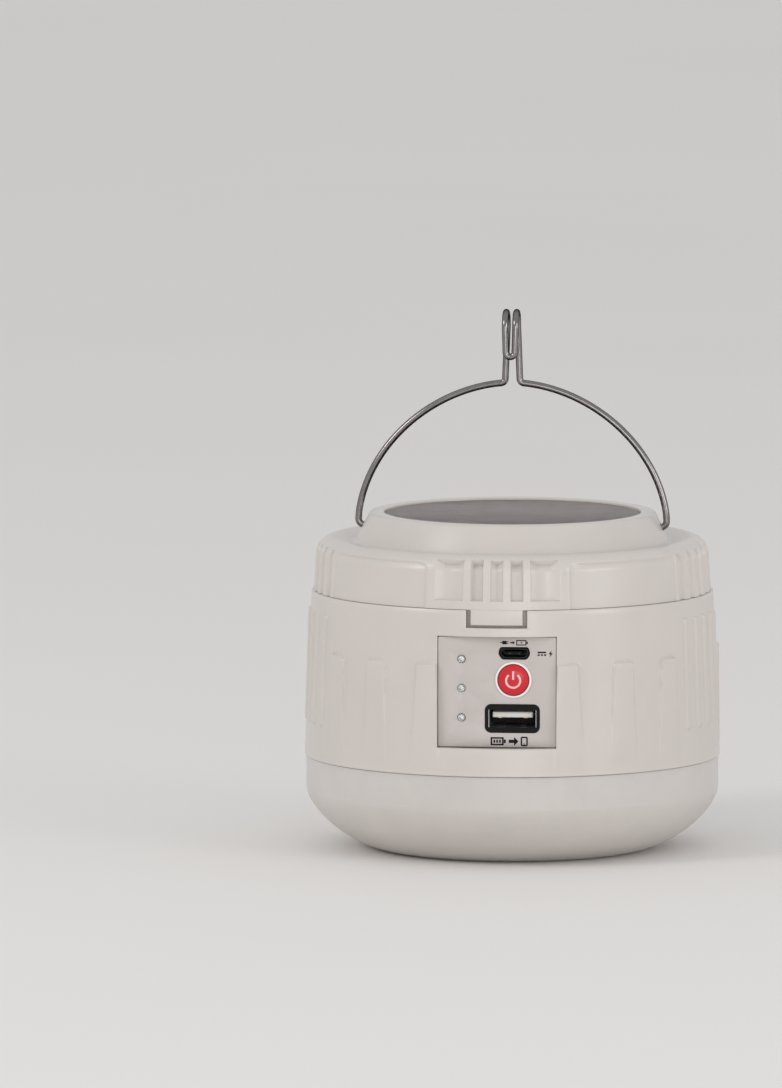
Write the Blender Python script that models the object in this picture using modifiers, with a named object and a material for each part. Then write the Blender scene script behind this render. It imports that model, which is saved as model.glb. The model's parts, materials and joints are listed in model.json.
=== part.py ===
"""Round solar lantern with a USB outlet: casing, solar lid, wire bail and the works inside.

Metres, +Z up. The origin is the middle of the flat the lantern stands on, the control
panel faces -Y, and the bail turns about an axis along X.
"""
import math

import bmesh
import bpy
from mathutils import Matrix, Vector

# ---------------------------------------------------------------- clearances
GAP = 0.0003                    # between pieces that sit against each other
SLIDE_GAP = 0.0002              # around a piece that slides or pokes through a hole
SEGMENTS = 60                   # around the casing
SMALL_SEGMENTS = 16             # around screws, holes and the button

# ---------------------------------------------------------------- casing heights
DIFFUSER_HEIGHT = 0.0252
HOUSING_HEIGHT = 0.0446
COVER_HEIGHT = 0.0131
COLLAR_HEIGHT = 0.0080

# ---------------------------------------------------------------- casing radii and walls
BODY_RADIUS = 0.0561            # foot of the housing, the widest place
HOUSING_DRAFT = 0.0019          # radius the housing loses towards its top
DIFFUSER_INSET = 0.0004         # the diffuser stands back from the housing
COVER_INSET = 0.0006            # the cover stands back from the housing's top
COVER_DRAFT = 0.0006
SHELL_WALL = 0.0022
SPIGOT_WALL = 0.0016
SPIGOT_LAP = 0.0005             # spigot below the foot of the tab's notch
FLOOR_THICKNESS = 0.0030
FLOOR_RISE = 0.0032             # underside of the housing's floor above the diffuser seam
DIFFUSER_WALL = 0.0020
DIFFUSER_SIDE = 0.0088          # straight part of the diffuser's side
DIFFUSER_FLAT = 0.0350          # radius of the flat it stands on
DIFFUSER_ROUND = 1.55           # exponent of its rounded lower edge, 2 is an ellipse
LIP_WALL = 0.0014
COVER_EDGE = 0.0045             # round between the cover's side and its crest
CREST_RISE = 0.0012             # crest above the foot of the collar
CREST_LAND = 0.0012             # flat between the collar's foot and the slope to the crest
EDGE_TURNS = [0.0, 15.0, 30.0, 45.0, 67.5, 90.0]    # facets of that round

# ---------------------------------------------------------------- solar lid
SOLAR_RADIUS = 0.0343
SOLAR_GAP = 0.0004
RIM_WIDTH = 0.0038              # flat and rounded top of the collar
COLLAR_FLARE = 0.0035           # how much wider the collar is at its foot
RIM_DROP = 0.0005               # the pane lies this far under the rim
PANE_THICKNESS = 0.0006
CELL_THICKNESS = 0.0003
CELL_STRIPS = 8
BACKING_THICKNESS = 0.0010
SEAL_THICKNESS = 0.0005
SEAL_WIDTH = 0.0060
SEAT_WALL = 0.0020
LEAD_HOLE_RADIUS = 0.0040

# ---------------------------------------------------------------- bail
WIRE_RADIUS = 0.0009
PIVOT_DROP = 0.0041             # pivot axis under the rim
PIVOT_DEPTH = 0.0045            # how far a wire end reaches into the collar
BAIL_RISE = 0.0389              # top of the arch above the pivot
BAIL_ROUND = 1.88               # exponent of the arch
BAIL_CLEARANCE = 0.0005
NECK_HALF = 0.0020
NECK_RISE = 0.0154              # from the arch to the hook's bend
CROWN_RADIUS = 0.0040
CROWN_HALF = 0.0014
TONGUE_DROP = 0.0065            # straight part of the hook's tongue
TONGUE_HALF = 0.0012
WIRE_BEND = 0.0017

# ---------------------------------------------------------------- moulded relief
GRIP_ANGLES = [62.5 + 6.25 * step for step in range(5)]
GRIP_HALF = 1.1                 # degrees
GRIP_LOW = 0.0095               # above the diffuser seam
GRIP_HIGH = 0.0399
GRIP_RAISE = 0.0007
FIN_ANGLES = [20.3, 36.9, 53.5, 95.0, 112.0, 129.0, 146.0, 163.0]
REAR_FIN_ANGLE = 180.0
FIN_HALF_LOW = 4.6
FIN_HALF_HIGH = 3.4
FIN_LOW = 0.0030
FIN_HIGH = 0.0303
FIN_RAISE = 0.0010
POCKET_EDGES = [(-18.5, -9.8), (-7.6, -4.0), (-1.8, 1.8), (4.0, 7.6), (9.8, 18.5)]
POCKET_DEPTH = 0.0008
POCKET_BEYOND = 0.0030          # how far the shape that cuts them stands outside the cover
POCKET_SILL = 0.0023            # band left under the pockets
POCKET_TURN = 45.0              # how far they wrap over the cover's edge
FLUTE_EDGES = [61.45 + 6.3 * step for step in range(5)]
FLUTE_WIDTH = 3.6               # degrees

# ---------------------------------------------------------------- tab and notch
NOTCH_WIDTH = 0.0164
NOTCH_DEPTH = 0.0048
TAB_SIDE_GAP = 0.0012
TAB_FOOT_GAP = 0.0007

# ---------------------------------------------------------------- control panel
PANEL_WIDTH = 0.0316
PANEL_HEIGHT = 0.0296
PANEL_RISE = 0.0225             # panel's middle above the diffuser seam
PANEL_GAP = 0.00035
PANEL_SINK = 0.0001             # panel's top corners under the casing's surface
PANEL_WALL = 0.0018
PANEL_FLANGE = 0.0012           # overlap of the flange behind the opening
FLANGE_THICKNESS = 0.0014
FLANGE_SEAT = 0.0038            # flange's front behind the panel's face
USB_A_AT = (0.0041, -0.0071)
USB_A_SIZE = (0.0131, 0.0057)
USB_A_HOLE = (0.0147, 0.0077)
USB_A_WALL = 0.0004
MICRO_AT = (0.0046, 0.0104)
MICRO_SIZE = (0.0076, 0.0027)
MICRO_HOLE = (0.0084, 0.0034)
MICRO_WALL = 0.00035
BUTTON_AT = (0.0044, 0.0033)
BUTTON_RADIUS = 0.0041
BUTTON_PROUD = 0.0010
BUTTON_RING = 0.00055
BUTTON_TRAVEL = 0.0005
LED_SIDE = -0.0095
LED_STEPS = [0.0088, 0.0010, -0.0069]
LED_RADIUS = 0.00095
PORT_SET_BACK = 0.0003

# ---------------------------------------------------------------- boards
BOARD_SIZE = (0.0320, 0.0284)
USB_A_LENGTH = 0.0110
BOARD_THICKNESS = 0.0016
MICRO_LENGTH = 0.0060
CHARGE_BOARD = (0.0150, 0.0012, 0.0066)
SWITCH_SIZE = (0.0062, 0.0040, 0.0062)
BOARD_POST_RADIUS = 0.0020
BOARD_POST_AT = 0.0137

# ---------------------------------------------------------------- battery
CELL_RADIUS = 0.0092
CELL_LENGTH = 0.0650
CELL_GAP = 0.0003
CELL_DIVIDER = 0.0010
TRAY_WALL = 0.0016
TRAY_BASE = 0.0015
BATTERY_Y = 0.0140
LINK_THICKNESS = 0.0003

# ---------------------------------------------------------------- lamp board and screws
LAMP_BOARD_RADIUS = 0.0390
LAMP_BOARD_THICKNESS = 0.0012
CHIP_SIZE = (0.0035, 0.0028, 0.0007)
CHIP_RING = 0.0270
CHIP_COUNT = 9
LAMP_SCREW_RING = 0.0340
LAMP_SCREW_ANGLES = [90, 210, 330]
COVER_POST_ANGLES = [90, 210, 330]
POST_RADIUS = 0.0040
POST_INSET = 0.0020             # post's side to the housing's wall
POST_HEIGHT = 0.0300            # cover posts over the housing's floor
LEAD_RADIUS = 0.0006
LAMP_HOLE_AT = (0.0, -0.0310)
LAMP_HOLE_RADIUS = 0.0030

# ---------------------------------------------------------------- screws and button stem
SCREW_RADIUS = 0.0013
SCREW_HEAD_RADIUS = 0.0026
SCREW_HEAD = 0.0018
SCREW_SHELF = 0.0030            # wall the head pulls against at the post's top
SCREW_BITE = 0.0100
SMALL_SCREW_RADIUS = 0.0010
SMALL_HEAD_RADIUS = 0.0019
SMALL_HEAD = 0.0013
FLOOR_BITE = 0.0022             # depth of a pilot hole in the housing's floor
POST_BITE = 0.0048              # depth of a pilot hole in a control panel post
TIP_GAP = 0.0005                # screw's tip to the end of its pilot hole
STEM_RADIUS = 0.0017
CAP_LENGTH = 0.0037             # from the panel's face to the end of the button's stem
PLUNGER_ENTRY = 0.0009          # plunger inside the switch body when the button is out


# ---------------------------------------------------------------- small steps and margins
THROUGH = 0.010                 # length of a cutter that only has to pass through
OVERCUT = 0.002                 # how far a cutter goes past an open edge
COLLAR_SLOPE = 0.0020 / 0.0041  # collar radius gained per drop below the rim
COLLAR_FOOT_STEP = 0.0004
COLLAR_ROUND = 0.0025           # width of the collar's rounded rim
COLLAR_ROUND_MID = 0.0009
COLLAR_ROUND_DROP = 0.0010
RIM_ROUND = 0.0003
BAIL_EASE = 0.0001
PIVOT_PLAY = 0.0006             # room at the blind end of a pivot hole
PIVOT_SOCKET_WIDTH = 0.0064
PIVOT_SOCKET_BELOW = 0.0024     # socket under the wire
PIVOT_SOCKET_MORE = 0.0012      # socket longer than the hole
PIVOT_SOCKET_SET = 0.0008       # socket inside the collar's face
FIN_BED = 0.00015               # fin foot above the plain wall
FRAME_MORE = 0.0004             # frame pad wider than the panel's flange
FRAME_OVER = 0.0001
FLUTE_OVER = 0.0003             # flutes run past the cover's foot
TAB_INSET = 0.0001
TAB_FACE_INSET = 0.0003
BOSS_SLIMMER = 0.0005           # boss radius under the post's
CELL_EDGE = 0.0008              # cell sheet inside the pane's edge
CELL_GROOVE = 0.0004
PANEL_LAND = 0.0004             # panel body into its flange
PANEL_POCKET_WIDTH = 0.0256
PANEL_POCKET_SHIFT = 0.0006
PANEL_POCKET_MARGIN = 0.0026
BOARD_POST_DROP = 0.0020        # board posts below the panel's middle
RING_PROUD = 0.0004
USB_A_CORNER = 0.0017
MICRO_CORNER = 0.0009
USB_A_TONGUE = (0.0107, 0.0015)
USB_A_LIFT = 0.0009             # tongue above the middle of its shell
MICRO_TONGUE = (0.0042, 0.0006)
MICRO_LIFT = 0.0002
SHELL_CORNER = 0.0005
INSERT_LAP = 0.0002             # tongue into its back block
GASKET_MORE = 0.0024            # gasket wider than its hole
GASKET_THICKNESS = 0.0010
HEADER_SIZE = (0.0090, 0.0024)  # width and height
INDUCTOR_SIZE = (0.0070, 0.0040, 0.0070)
CONTROLLER_SIZE = (0.0049, 0.0016, 0.0039)
LED_LEG = 0.0004
LED_LEG_GAP = 0.0010
LAMP_FLANGE_LAP = 0.0007        # lamp leg starts inside the flange
EAR_THICKNESS = 0.0024
EAR_WIDTH = 0.0070
EAR_END = 0.0006                # ear past the screw's head
EAR_ROOM = 0.0010
TRAY_LIP = 0.0013               # tray wall above the cells' axis
LINK_WIDTH = 0.0060

# ---------------------------------------------------------------- places worked out
SEAM_LOW = DIFFUSER_HEIGHT
SEAM_HIGH = SEAM_LOW + HOUSING_HEIGHT
SHOULDER = SEAM_HIGH + COVER_HEIGHT
RIM = SHOULDER + COLLAR_HEIGHT
PIVOT_Z = RIM - PIVOT_DROP
HOUSING_TOP_RADIUS = BODY_RADIUS - HOUSING_DRAFT
COVER_FOOT_RADIUS = HOUSING_TOP_RADIUS - COVER_INSET
COVER_TOP_RADIUS = COVER_FOOT_RADIUS - COVER_DRAFT
DIFFUSER_RADIUS = BODY_RADIUS - DIFFUSER_INSET
INNER_TOP = HOUSING_TOP_RADIUS - SHELL_WALL
INNER_FOOT = BODY_RADIUS - SHELL_WALL
SPIGOT_RADIUS = INNER_TOP - GAP
SPIGOT_DEPTH = NOTCH_DEPTH + SPIGOT_LAP
FLOOR_LOW = SEAM_LOW + FLOOR_RISE
FLOOR_HIGH = FLOOR_LOW + FLOOR_THICKNESS
RIM_INNER = SOLAR_RADIUS + SOLAR_GAP
COLLAR_TOP = RIM_INNER + RIM_WIDTH
COLLAR_FOOT = COLLAR_TOP + COLLAR_FLARE + COLLAR_FOOT_STEP
PANE_TOP = RIM - RIM_DROP
CELLS_TOP = PANE_TOP - PANE_THICKNESS - GAP
BACKING_TOP = CELLS_TOP - CELL_THICKNESS - GAP
SEAL_TOP = BACKING_TOP - BACKING_THICKNESS - GAP
SEAT = SEAL_TOP - SEAL_THICKNESS - GAP
COLLAR_AT_PIVOT = COLLAR_TOP + COLLAR_SLOPE * PIVOT_DROP
BAIL_HALF = COLLAR_AT_PIVOT + BAIL_EASE + BAIL_CLEARANCE + WIRE_RADIUS
PIVOT_END = BAIL_HALF - WIRE_RADIUS - BAIL_CLEARANCE - PIVOT_DEPTH + PIVOT_PLAY
PANEL_Z = SEAM_LOW + PANEL_RISE


def housing_radius(height):
    """Outer radius of the plain housing wall at a height."""
    share = (height - SEAM_LOW) / HOUSING_HEIGHT
    return BODY_RADIUS - HOUSING_DRAFT * share


OPENING_HALF = PANEL_WIDTH / 2 + PANEL_GAP
OPENING_TOP = PANEL_Z + PANEL_HEIGHT / 2 + PANEL_GAP
PANEL_FACE = -math.sqrt(housing_radius(OPENING_TOP) ** 2 - OPENING_HALF ** 2) + PANEL_SINK
PANEL_BACK = PANEL_FACE + PANEL_WALL
FLANGE_FACE = PANEL_FACE + FLANGE_SEAT
FLANGE_BACK = FLANGE_FACE + FLANGE_THICKNESS
PORT_FACE = PANEL_FACE + PORT_SET_BACK
BOARD_FACE = PORT_FACE + USB_A_LENGTH + GAP
BOARD_BACK = BOARD_FACE + BOARD_THICKNESS
CHARGE_FACE = PORT_FACE + MICRO_LENGTH + GAP
POST_RING = INNER_TOP - POST_RADIUS - POST_INSET
POST_TOP = FLOOR_HIGH + POST_HEIGHT
CELL_PITCH = 2 * (CELL_RADIUS + CELL_GAP) + CELL_DIVIDER
TRAY_LOW = FLOOR_HIGH + GAP
CELL_Z = TRAY_LOW + TRAY_BASE + CELL_GAP + CELL_RADIUS
TRAY_HIGH = CELL_Z + TRAY_LIP
LINK_AT = CELL_LENGTH / 2 + GAP + LINK_THICKNESS / 2
TRAY_INNER = LINK_AT + LINK_THICKNESS / 2 + GAP
LAMP_BOARD_TOP = FLOOR_LOW - GAP
LAMP_BOARD_LOW = LAMP_BOARD_TOP - LAMP_BOARD_THICKNESS


# ================================================================ tools
for stale in list(bpy.data.objects):
    bpy.data.objects.remove(stale, do_unlink=True)

PARTS = bpy.data.collections.new("solar_lantern")
CUTTERS = bpy.data.collections.new("cutters")
bpy.context.scene.collection.children.link(PARTS)
bpy.context.scene.collection.children.link(CUTTERS)


def material(name, color, roughness, metallic=0.0, alpha=1.0):
    """A Principled material of one colour."""
    made = bpy.data.materials.new(name)
    made.use_nodes = True
    shader = made.node_tree.nodes["Principled BSDF"]
    shader.inputs["Base Color"].default_value = (*color, 1.0)
    shader.inputs["Roughness"].default_value = roughness
    shader.inputs["Metallic"].default_value = metallic
    shader.inputs["Alpha"].default_value = alpha
    return made


WHITE = material("white_abs", (0.78, 0.76, 0.72), 0.35)
PANEL_GREY = material("panel_abs", (0.66, 0.66, 0.65), 0.40)
FROSTED = material("frosted_diffuser", (0.70, 0.70, 0.72), 0.45)
STEEL = material("bail_steel", (0.62, 0.61, 0.60), 0.20, 1.0)
SCREW_STEEL = material("screw_steel", (0.45, 0.45, 0.46), 0.35, 1.0)
TIN = material("port_tin", (0.70, 0.70, 0.70), 0.25, 1.0)
NICKEL = material("nickel_strip", (0.60, 0.58, 0.54), 0.30, 1.0)
RED = material("button_red", (0.72, 0.03, 0.05), 0.30)
BLACK = material("black_plastic", (0.02, 0.02, 0.02), 0.45)
PALE = material("port_insert", (0.80, 0.80, 0.78), 0.50)
CLEAR = material("clear_led", (0.85, 0.88, 0.90), 0.08, 0.0, 0.6)
SILICON = material("solar_cells", (0.13, 0.10, 0.14), 0.30)
PANE = material("solar_pane", (0.35, 0.33, 0.38), 0.10, 0.0, 0.4)
FOAM = material("foam_seal", (0.05, 0.05, 0.05), 0.90)
BOARD = material("board_green", (0.03, 0.20, 0.08), 0.50)
LAMP_WHITE = material("lamp_board", (0.85, 0.85, 0.84), 0.45)
PHOSPHOR = material("led_phosphor", (0.90, 0.80, 0.25), 0.40)
WRAP = material("cell_wrap", (0.05, 0.22, 0.50), 0.35)
RED_LEAD = material("lead_red", (0.65, 0.03, 0.03), 0.40)
BLACK_LEAD = material("lead_black", (0.03, 0.03, 0.03), 0.40)


def place(name, mesh, look=None, at=(0, 0, 0), cutter=False):
    """Put a mesh in the scene as a part, or as a hidden cutter."""
    made = bpy.data.objects.new(name, mesh)
    made.location = at
    if look:
        mesh.materials.append(look)
    if cutter:
        CUTTERS.objects.link(made)
        made.hide_render = True
        made.display_type = 'WIRE'
    else:
        PARTS.objects.link(made)
    return made


def finish_mesh(name, shape):
    """Turn a bmesh into a mesh whose faces point outwards."""
    bmesh.ops.recalc_face_normals(shape, faces=shape.faces)
    mesh = bpy.data.meshes.new(name)
    shape.to_mesh(mesh)
    shape.free()
    mesh.shade_smooth()
    mesh.set_sharp_from_angle(angle=math.radians(30))
    return mesh


def block(name, size, at, look=None, cutter=False, corner=0.0, along=1, steps=3):
    """A box; with corner, its four edges along one axis are rounded."""
    shape = bmesh.new()
    bmesh.ops.create_cube(shape, size=1.0)
    bmesh.ops.scale(shape, vec=Vector(size), verts=shape.verts)
    if corner:
        edges = []
        for edge in shape.edges:
            run = edge.verts[0].co - edge.verts[1].co
            if abs(run[along]) > size[along] * 0.9:
                edges.append(edge)
        bmesh.ops.bevel(shape, geom=edges, offset=corner, segments=steps, profile=0.5,
                        affect='EDGES')
    return place(name, finish_mesh(name, shape), look, at, cutter)


def rod(name, radius, length, at, axis='Z', look=None, cutter=False,
        segments=SMALL_SEGMENTS, far_radius=None):
    """A cylinder or cone centred at a point, along X, Y or Z."""
    shape = bmesh.new()
    turn = {'X': Matrix.Rotation(math.pi / 2, 4, 'Y'),
            'Y': Matrix.Rotation(-math.pi / 2, 4, 'X'),
            'Z': Matrix.Identity(4)}[axis]
    bmesh.ops.create_cone(shape, cap_ends=True, segments=segments, radius1=radius,
                          radius2=radius if far_radius is None else far_radius,
                          depth=length, matrix=turn)
    return place(name, finish_mesh(name, shape), look, at, cutter)


def turned(name, profile, look=None, at=(0, 0, 0), closed=True, segments=SEGMENTS,
           cutter=False, axis='Z'):
    """A profile of (radius, height) points turned about an axis."""
    mesh = bpy.data.meshes.new(name)
    points = [(radius, 0.0, height) for radius, height in profile]
    edges = [(i, i + 1) for i in range(len(points) - 1)]
    if closed:
        edges.append((len(points) - 1, 0))
    mesh.from_pydata(points, edges, [])
    made = place(name, mesh, look, at, cutter)
    if axis == 'Y':
        made.rotation_euler = (math.pi / 2, 0, 0)
    if axis == 'X':
        made.rotation_euler = (0, math.pi / 2, 0)
    screw = made.modifiers.new("turn", 'SCREW')
    screw.angle = 2 * math.pi
    screw.screw_offset = 0.0
    screw.axis = 'Z'
    screw.steps = segments
    screw.render_steps = segments
    screw.use_merge_vertices = True
    screw.merge_threshold = 0.000001
    screw.use_smooth_shade = True
    return made


def curved_block(shape, middle, half_low, half_high, inner, outer_low, outer_high, low, high):
    """Add a block bent round the casing's axis; angles in degrees from the front."""
    bent = bmesh.new()
    bmesh.ops.create_cube(bent, size=1.0)
    across = [edge for edge in bent.edges
              if abs(edge.verts[0].co.x - edge.verts[1].co.x) > 0.5]
    bmesh.ops.subdivide_edges(bent, edges=across, cuts=max(1, round(half_low / 2.5)))
    for vert in bent.verts:
        top = vert.co.z > 0
        half = half_high if top else half_low
        angle = math.radians(middle + 2 * vert.co.x * half)
        outer = outer_high if top else outer_low
        radius = outer if vert.co.y < 0 else inner
        vert.co = Vector((radius * math.sin(angle), -radius * math.cos(angle),
                          high if top else low))
    mesh = bpy.data.meshes.new("bent_block")
    bent.to_mesh(mesh)
    bent.free()
    shape.from_mesh(mesh)
    bpy.data.meshes.remove(mesh)


def modify(target, tool, operation):
    """Join, cut or intersect a part with another object."""
    boolean = target.modifiers.new(tool.name, 'BOOLEAN')
    boolean.operation = operation
    boolean.solver = 'EXACT'
    boolean.object = tool


def cut(target, tool):
    modify(target, tool, 'DIFFERENCE')


def join(target, tool):
    modify(target, tool, 'UNION')


def around(radius, degrees):
    """A point on a circle round the casing's axis, 0 at +X."""
    return (radius * math.cos(math.radians(degrees)), radius * math.sin(math.radians(degrees)))


def arc_between(start, corner, end, radius, steps):
    """Points of the bend that rounds a corner of a path."""
    start, corner, end = Vector(start), Vector(corner), Vector(end)
    to_start = (start - corner).normalized()
    to_end = (end - corner).normalized()
    half = to_start.angle(to_end) / 2
    reach = radius / math.tan(half)
    reach = min(reach, 0.95 * (start - corner).length, 0.95 * (end - corner).length)
    centre = corner + (to_start + to_end).normalized() * reach / math.cos(half)
    first = corner + to_start * reach - centre
    last = corner + to_end * reach - centre
    sweep = first.angle(last)
    turn = first.cross(last).normalized()
    return [centre + Matrix.Rotation(sweep * i / steps, 3, turn) @ first
            for i in range(steps + 1)]


def wire(name, points, radius, look, resolution=2):
    """A round wire with closed ends through a list of points."""
    curve = bpy.data.curves.new(name, 'CURVE')
    curve.dimensions = '3D'
    curve.bevel_depth = radius
    curve.bevel_resolution = resolution
    curve.use_fill_caps = True
    spline = curve.splines.new('POLY')
    spline.points.add(len(points) - 1)
    for slot, point in zip(spline.points, points):
        slot.co = (*point, 1.0)
    curve.materials.append(look)
    made = bpy.data.objects.new(name, curve)
    PARTS.objects.link(made)
    return made


def smooth_route(points, steps=4):
    """A Catmull-Rom curve through the route's own points."""
    points = [Vector(point) for point in points]
    ends = [2 * points[0] - points[1]] + points + [2 * points[-1] - points[-2]]
    route = []
    for i in range(1, len(ends) - 2):
        before, start, stop, after = ends[i - 1:i + 3]
        for step in range(steps):
            t = step / steps
            route.append(0.5 * (2 * start + (stop - before) * t
                                + (2 * before - 5 * start + 4 * stop - after) * t ** 2
                                + (3 * start - before - 3 * stop + after) * t ** 3))
    route.append(points[-1])
    return route


def pivot_empty(name, at):
    """An empty on a joint's axis, to carry what turns or slides there."""
    made = bpy.data.objects.new(name, None)
    made.location = at
    made.empty_display_size = 0.01
    PARTS.objects.link(made)
    return made


# ================================================================ diffuser
def diffuser_edge(inset, steps=6):
    """Rounded lower edge from the side in to the flat, moved in by a wall."""
    radius = DIFFUSER_RADIUS - inset
    flat = DIFFUSER_FLAT - inset / 2
    low = inset
    high = SEAM_LOW - DIFFUSER_SIDE
    power = 2 / DIFFUSER_ROUND
    points = []
    for step in range(steps + 1):
        angle = math.pi / 2 * step / steps
        points.append((flat + (radius - flat) * math.cos(angle) ** power,
                       high - (high - low) * math.sin(angle) ** power))
    return points


def build_diffuser():
    lip_radius = INNER_FOOT - GAP
    lip_inner = lip_radius - LIP_WALL
    top = SEAM_LOW - GAP
    lip_top = FLOOR_LOW - GAP
    outer = [(lip_inner, lip_top), (lip_radius, lip_top), (lip_radius, top),
             (DIFFUSER_RADIUS, top)] + diffuser_edge(0.0)
    inner = diffuser_edge(DIFFUSER_WALL)[::-1]
    under_lip = [(lip_inner, SEAM_LOW - DIFFUSER_SIDE / 2)]
    profile = under_lip + outer + [(0.0, 0.0)]
    profile = [(0.0, DIFFUSER_WALL)] + inner + profile
    turned("diffuser", profile, FROSTED, closed=False)


# ================================================================ housing
def housing_relief():
    """Grip ribs at both sides and the fins round the casing, as one set of blocks."""
    shape = bmesh.new()
    for side in (-1, 1):
        for angle in GRIP_ANGLES:
            low, high = SEAM_LOW + GRIP_LOW, SEAM_LOW + GRIP_HIGH
            curved_block(shape, side * angle, GRIP_HALF, GRIP_HALF,
                         housing_radius(high) - SHELL_WALL / 2,
                         housing_radius(low) + GRIP_RAISE / 2,
                         housing_radius(high) + GRIP_RAISE, low, high)
        for angle in FIN_ANGLES:
            add_fin(shape, side * angle)
    add_fin(shape, REAR_FIN_ANGLE)
    return place("relief_blocks", finish_mesh("relief_blocks", shape), cutter=True)


def add_fin(shape, angle):
    """A fin that stands proud at its top and dies into the foot of the wall."""
    low, high = SEAM_LOW + FIN_LOW, SEAM_LOW + FIN_HIGH
    curved_block(shape, angle, FIN_HALF_LOW, FIN_HALF_HIGH,
                 housing_radius(high) - SHELL_WALL / 2,
                 housing_radius(low) + FIN_BED, housing_radius(high) + FIN_RAISE, low, high)


def panel_frame():
    """Flat seat for the panel's flange, kept inside the wall."""
    flange_half = OPENING_HALF + PANEL_FLANGE + FRAME_MORE
    low = FLOOR_LOW + FLOOR_THICKNESS / 2
    high = OPENING_TOP + PANEL_FLANGE + FRAME_OVER
    back = FLANGE_FACE - GAP
    depth = HOUSING_TOP_RADIUS + back
    frame = block("panel_frame", (2 * flange_half, depth, high - low),
                  (0, back - depth / 2, (high + low) / 2), cutter=True)
    limit = rod("frame_limit", HOUSING_TOP_RADIUS - SHELL_WALL / 2, 2 * HOUSING_HEIGHT,
                (0, 0, PANEL_Z), segments=SEGMENTS, cutter=True)
    modify(frame, limit, 'INTERSECT')
    return frame


def build_housing():
    top = SEAM_HIGH - GAP / 2
    low = SEAM_LOW + GAP / 2
    profile = [(0.0, FLOOR_HIGH), (INNER_FOOT, FLOOR_HIGH), (INNER_TOP, top),
               (HOUSING_TOP_RADIUS, top), (BODY_RADIUS, low), (INNER_FOOT, low),
               (INNER_FOOT, FLOOR_LOW), (0.0, FLOOR_LOW)]
    housing = turned("housing", profile, WHITE, closed=False)
    join(housing, housing_relief())
    join(housing, panel_frame())
    for number, angle in enumerate(COVER_POST_ANGLES, 1):
        x, y = around(POST_RING, angle)
        low = FLOOR_HIGH - FLOOR_THICKNESS / 2
        join(housing, rod(f"cover_post_{number}", POST_RADIUS, POST_TOP - low,
                          (x, y, (POST_TOP + low) / 2), cutter=True))
        bore_top = POST_TOP - SCREW_SHELF
        cut(housing, rod(f"head_bore_{number}", SCREW_HEAD_RADIUS + GAP,
                         bore_top - FLOOR_LOW + OVERCUT,
                         (x, y, (bore_top + FLOOR_LOW - OVERCUT) / 2), cutter=True))
        cut(housing, rod(f"shank_bore_{number}", SCREW_RADIUS + GAP, 3 * SCREW_SHELF,
                         (x, y, POST_TOP), cutter=True))
    for number, angle in enumerate(LAMP_SCREW_ANGLES, 1):
        x, y = around(LAMP_SCREW_RING, angle)
        cut(housing, rod(f"lamp_pilot_{number}", SMALL_SCREW_RADIUS + SLIDE_GAP,
                         2 * FLOOR_BITE, (x, y, FLOOR_LOW), cutter=True))
    for number, x in enumerate(tray_screw_places(), 1):
        cut(housing, rod(f"tray_pilot_{number}", SMALL_SCREW_RADIUS + SLIDE_GAP,
                         2 * FLOOR_BITE, (x, BATTERY_Y, FLOOR_HIGH), cutter=True))
    cut(housing, rod("lamp_lead_hole", LAMP_HOLE_RADIUS, 3 * FLOOR_THICKNESS,
                     (*LAMP_HOLE_AT, FLOOR_LOW), cutter=True))
    cut(housing, block("panel_opening", (2 * OPENING_HALF, 2 * THROUGH,
                                         PANEL_HEIGHT + 2 * PANEL_GAP),
                       (0, PANEL_FACE, PANEL_Z), cutter=True))
    notch_high = NOTCH_DEPTH + OVERCUT
    cut(housing, block("tab_notch", (NOTCH_WIDTH, 4 * SHELL_WALL, notch_high),
                       (0, -HOUSING_TOP_RADIUS, SEAM_HIGH - NOTCH_DEPTH + notch_high / 2),
                       cutter=True))


# ================================================================ top cover
def cover_edge_point(turn, inset):
    """A point on the cover's rounded edge, by its angle up from the side."""
    turn = math.radians(turn)
    reach = COVER_EDGE - inset
    return (COVER_TOP_RADIUS - COVER_EDGE + reach * math.cos(turn),
            SHOULDER + CREST_RISE - COVER_EDGE + reach * math.sin(turn))


def cover_profile():
    """Closed outline of the cover: seat, rim, collar, shoulder, side, spigot, underside."""
    foot = SEAM_HIGH + GAP / 2
    spigot_foot = SEAM_HIGH - SPIGOT_DEPTH
    spigot_inner = SPIGOT_RADIUS - SPIGOT_WALL
    roof = SHOULDER - SHELL_WALL
    collar_inner = COLLAR_AT_PIVOT - SHELL_WALL
    seat_under = SEAT - SEAT_WALL
    edge = [(COLLAR_FOOT + CREST_LAND, SHOULDER)]
    edge += [cover_edge_point(turn, 0.0) for turn in reversed(EDGE_TURNS)]
    rim = [(RIM_INNER, RIM - RIM_ROUND), (RIM_INNER + RIM_ROUND, RIM),
           (COLLAR_TOP - COLLAR_ROUND, RIM),
           (COLLAR_TOP - COLLAR_ROUND_MID, RIM - COLLAR_ROUND_DROP / 5),
           (COLLAR_TOP, RIM - COLLAR_ROUND_DROP),
           (COLLAR_AT_PIVOT, PIVOT_Z), (COLLAR_FOOT, SHOULDER)]
    return ([(LEAD_HOLE_RADIUS, SEAT), (RIM_INNER, SEAT)] + rim + edge
            + [(COVER_FOOT_RADIUS, foot), (SPIGOT_RADIUS, foot),
               (SPIGOT_RADIUS, spigot_foot), (spigot_inner, spigot_foot),
               (spigot_inner, roof), (collar_inner, roof), (collar_inner, seat_under),
               (LEAD_HOLE_RADIUS, seat_under)])


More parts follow.
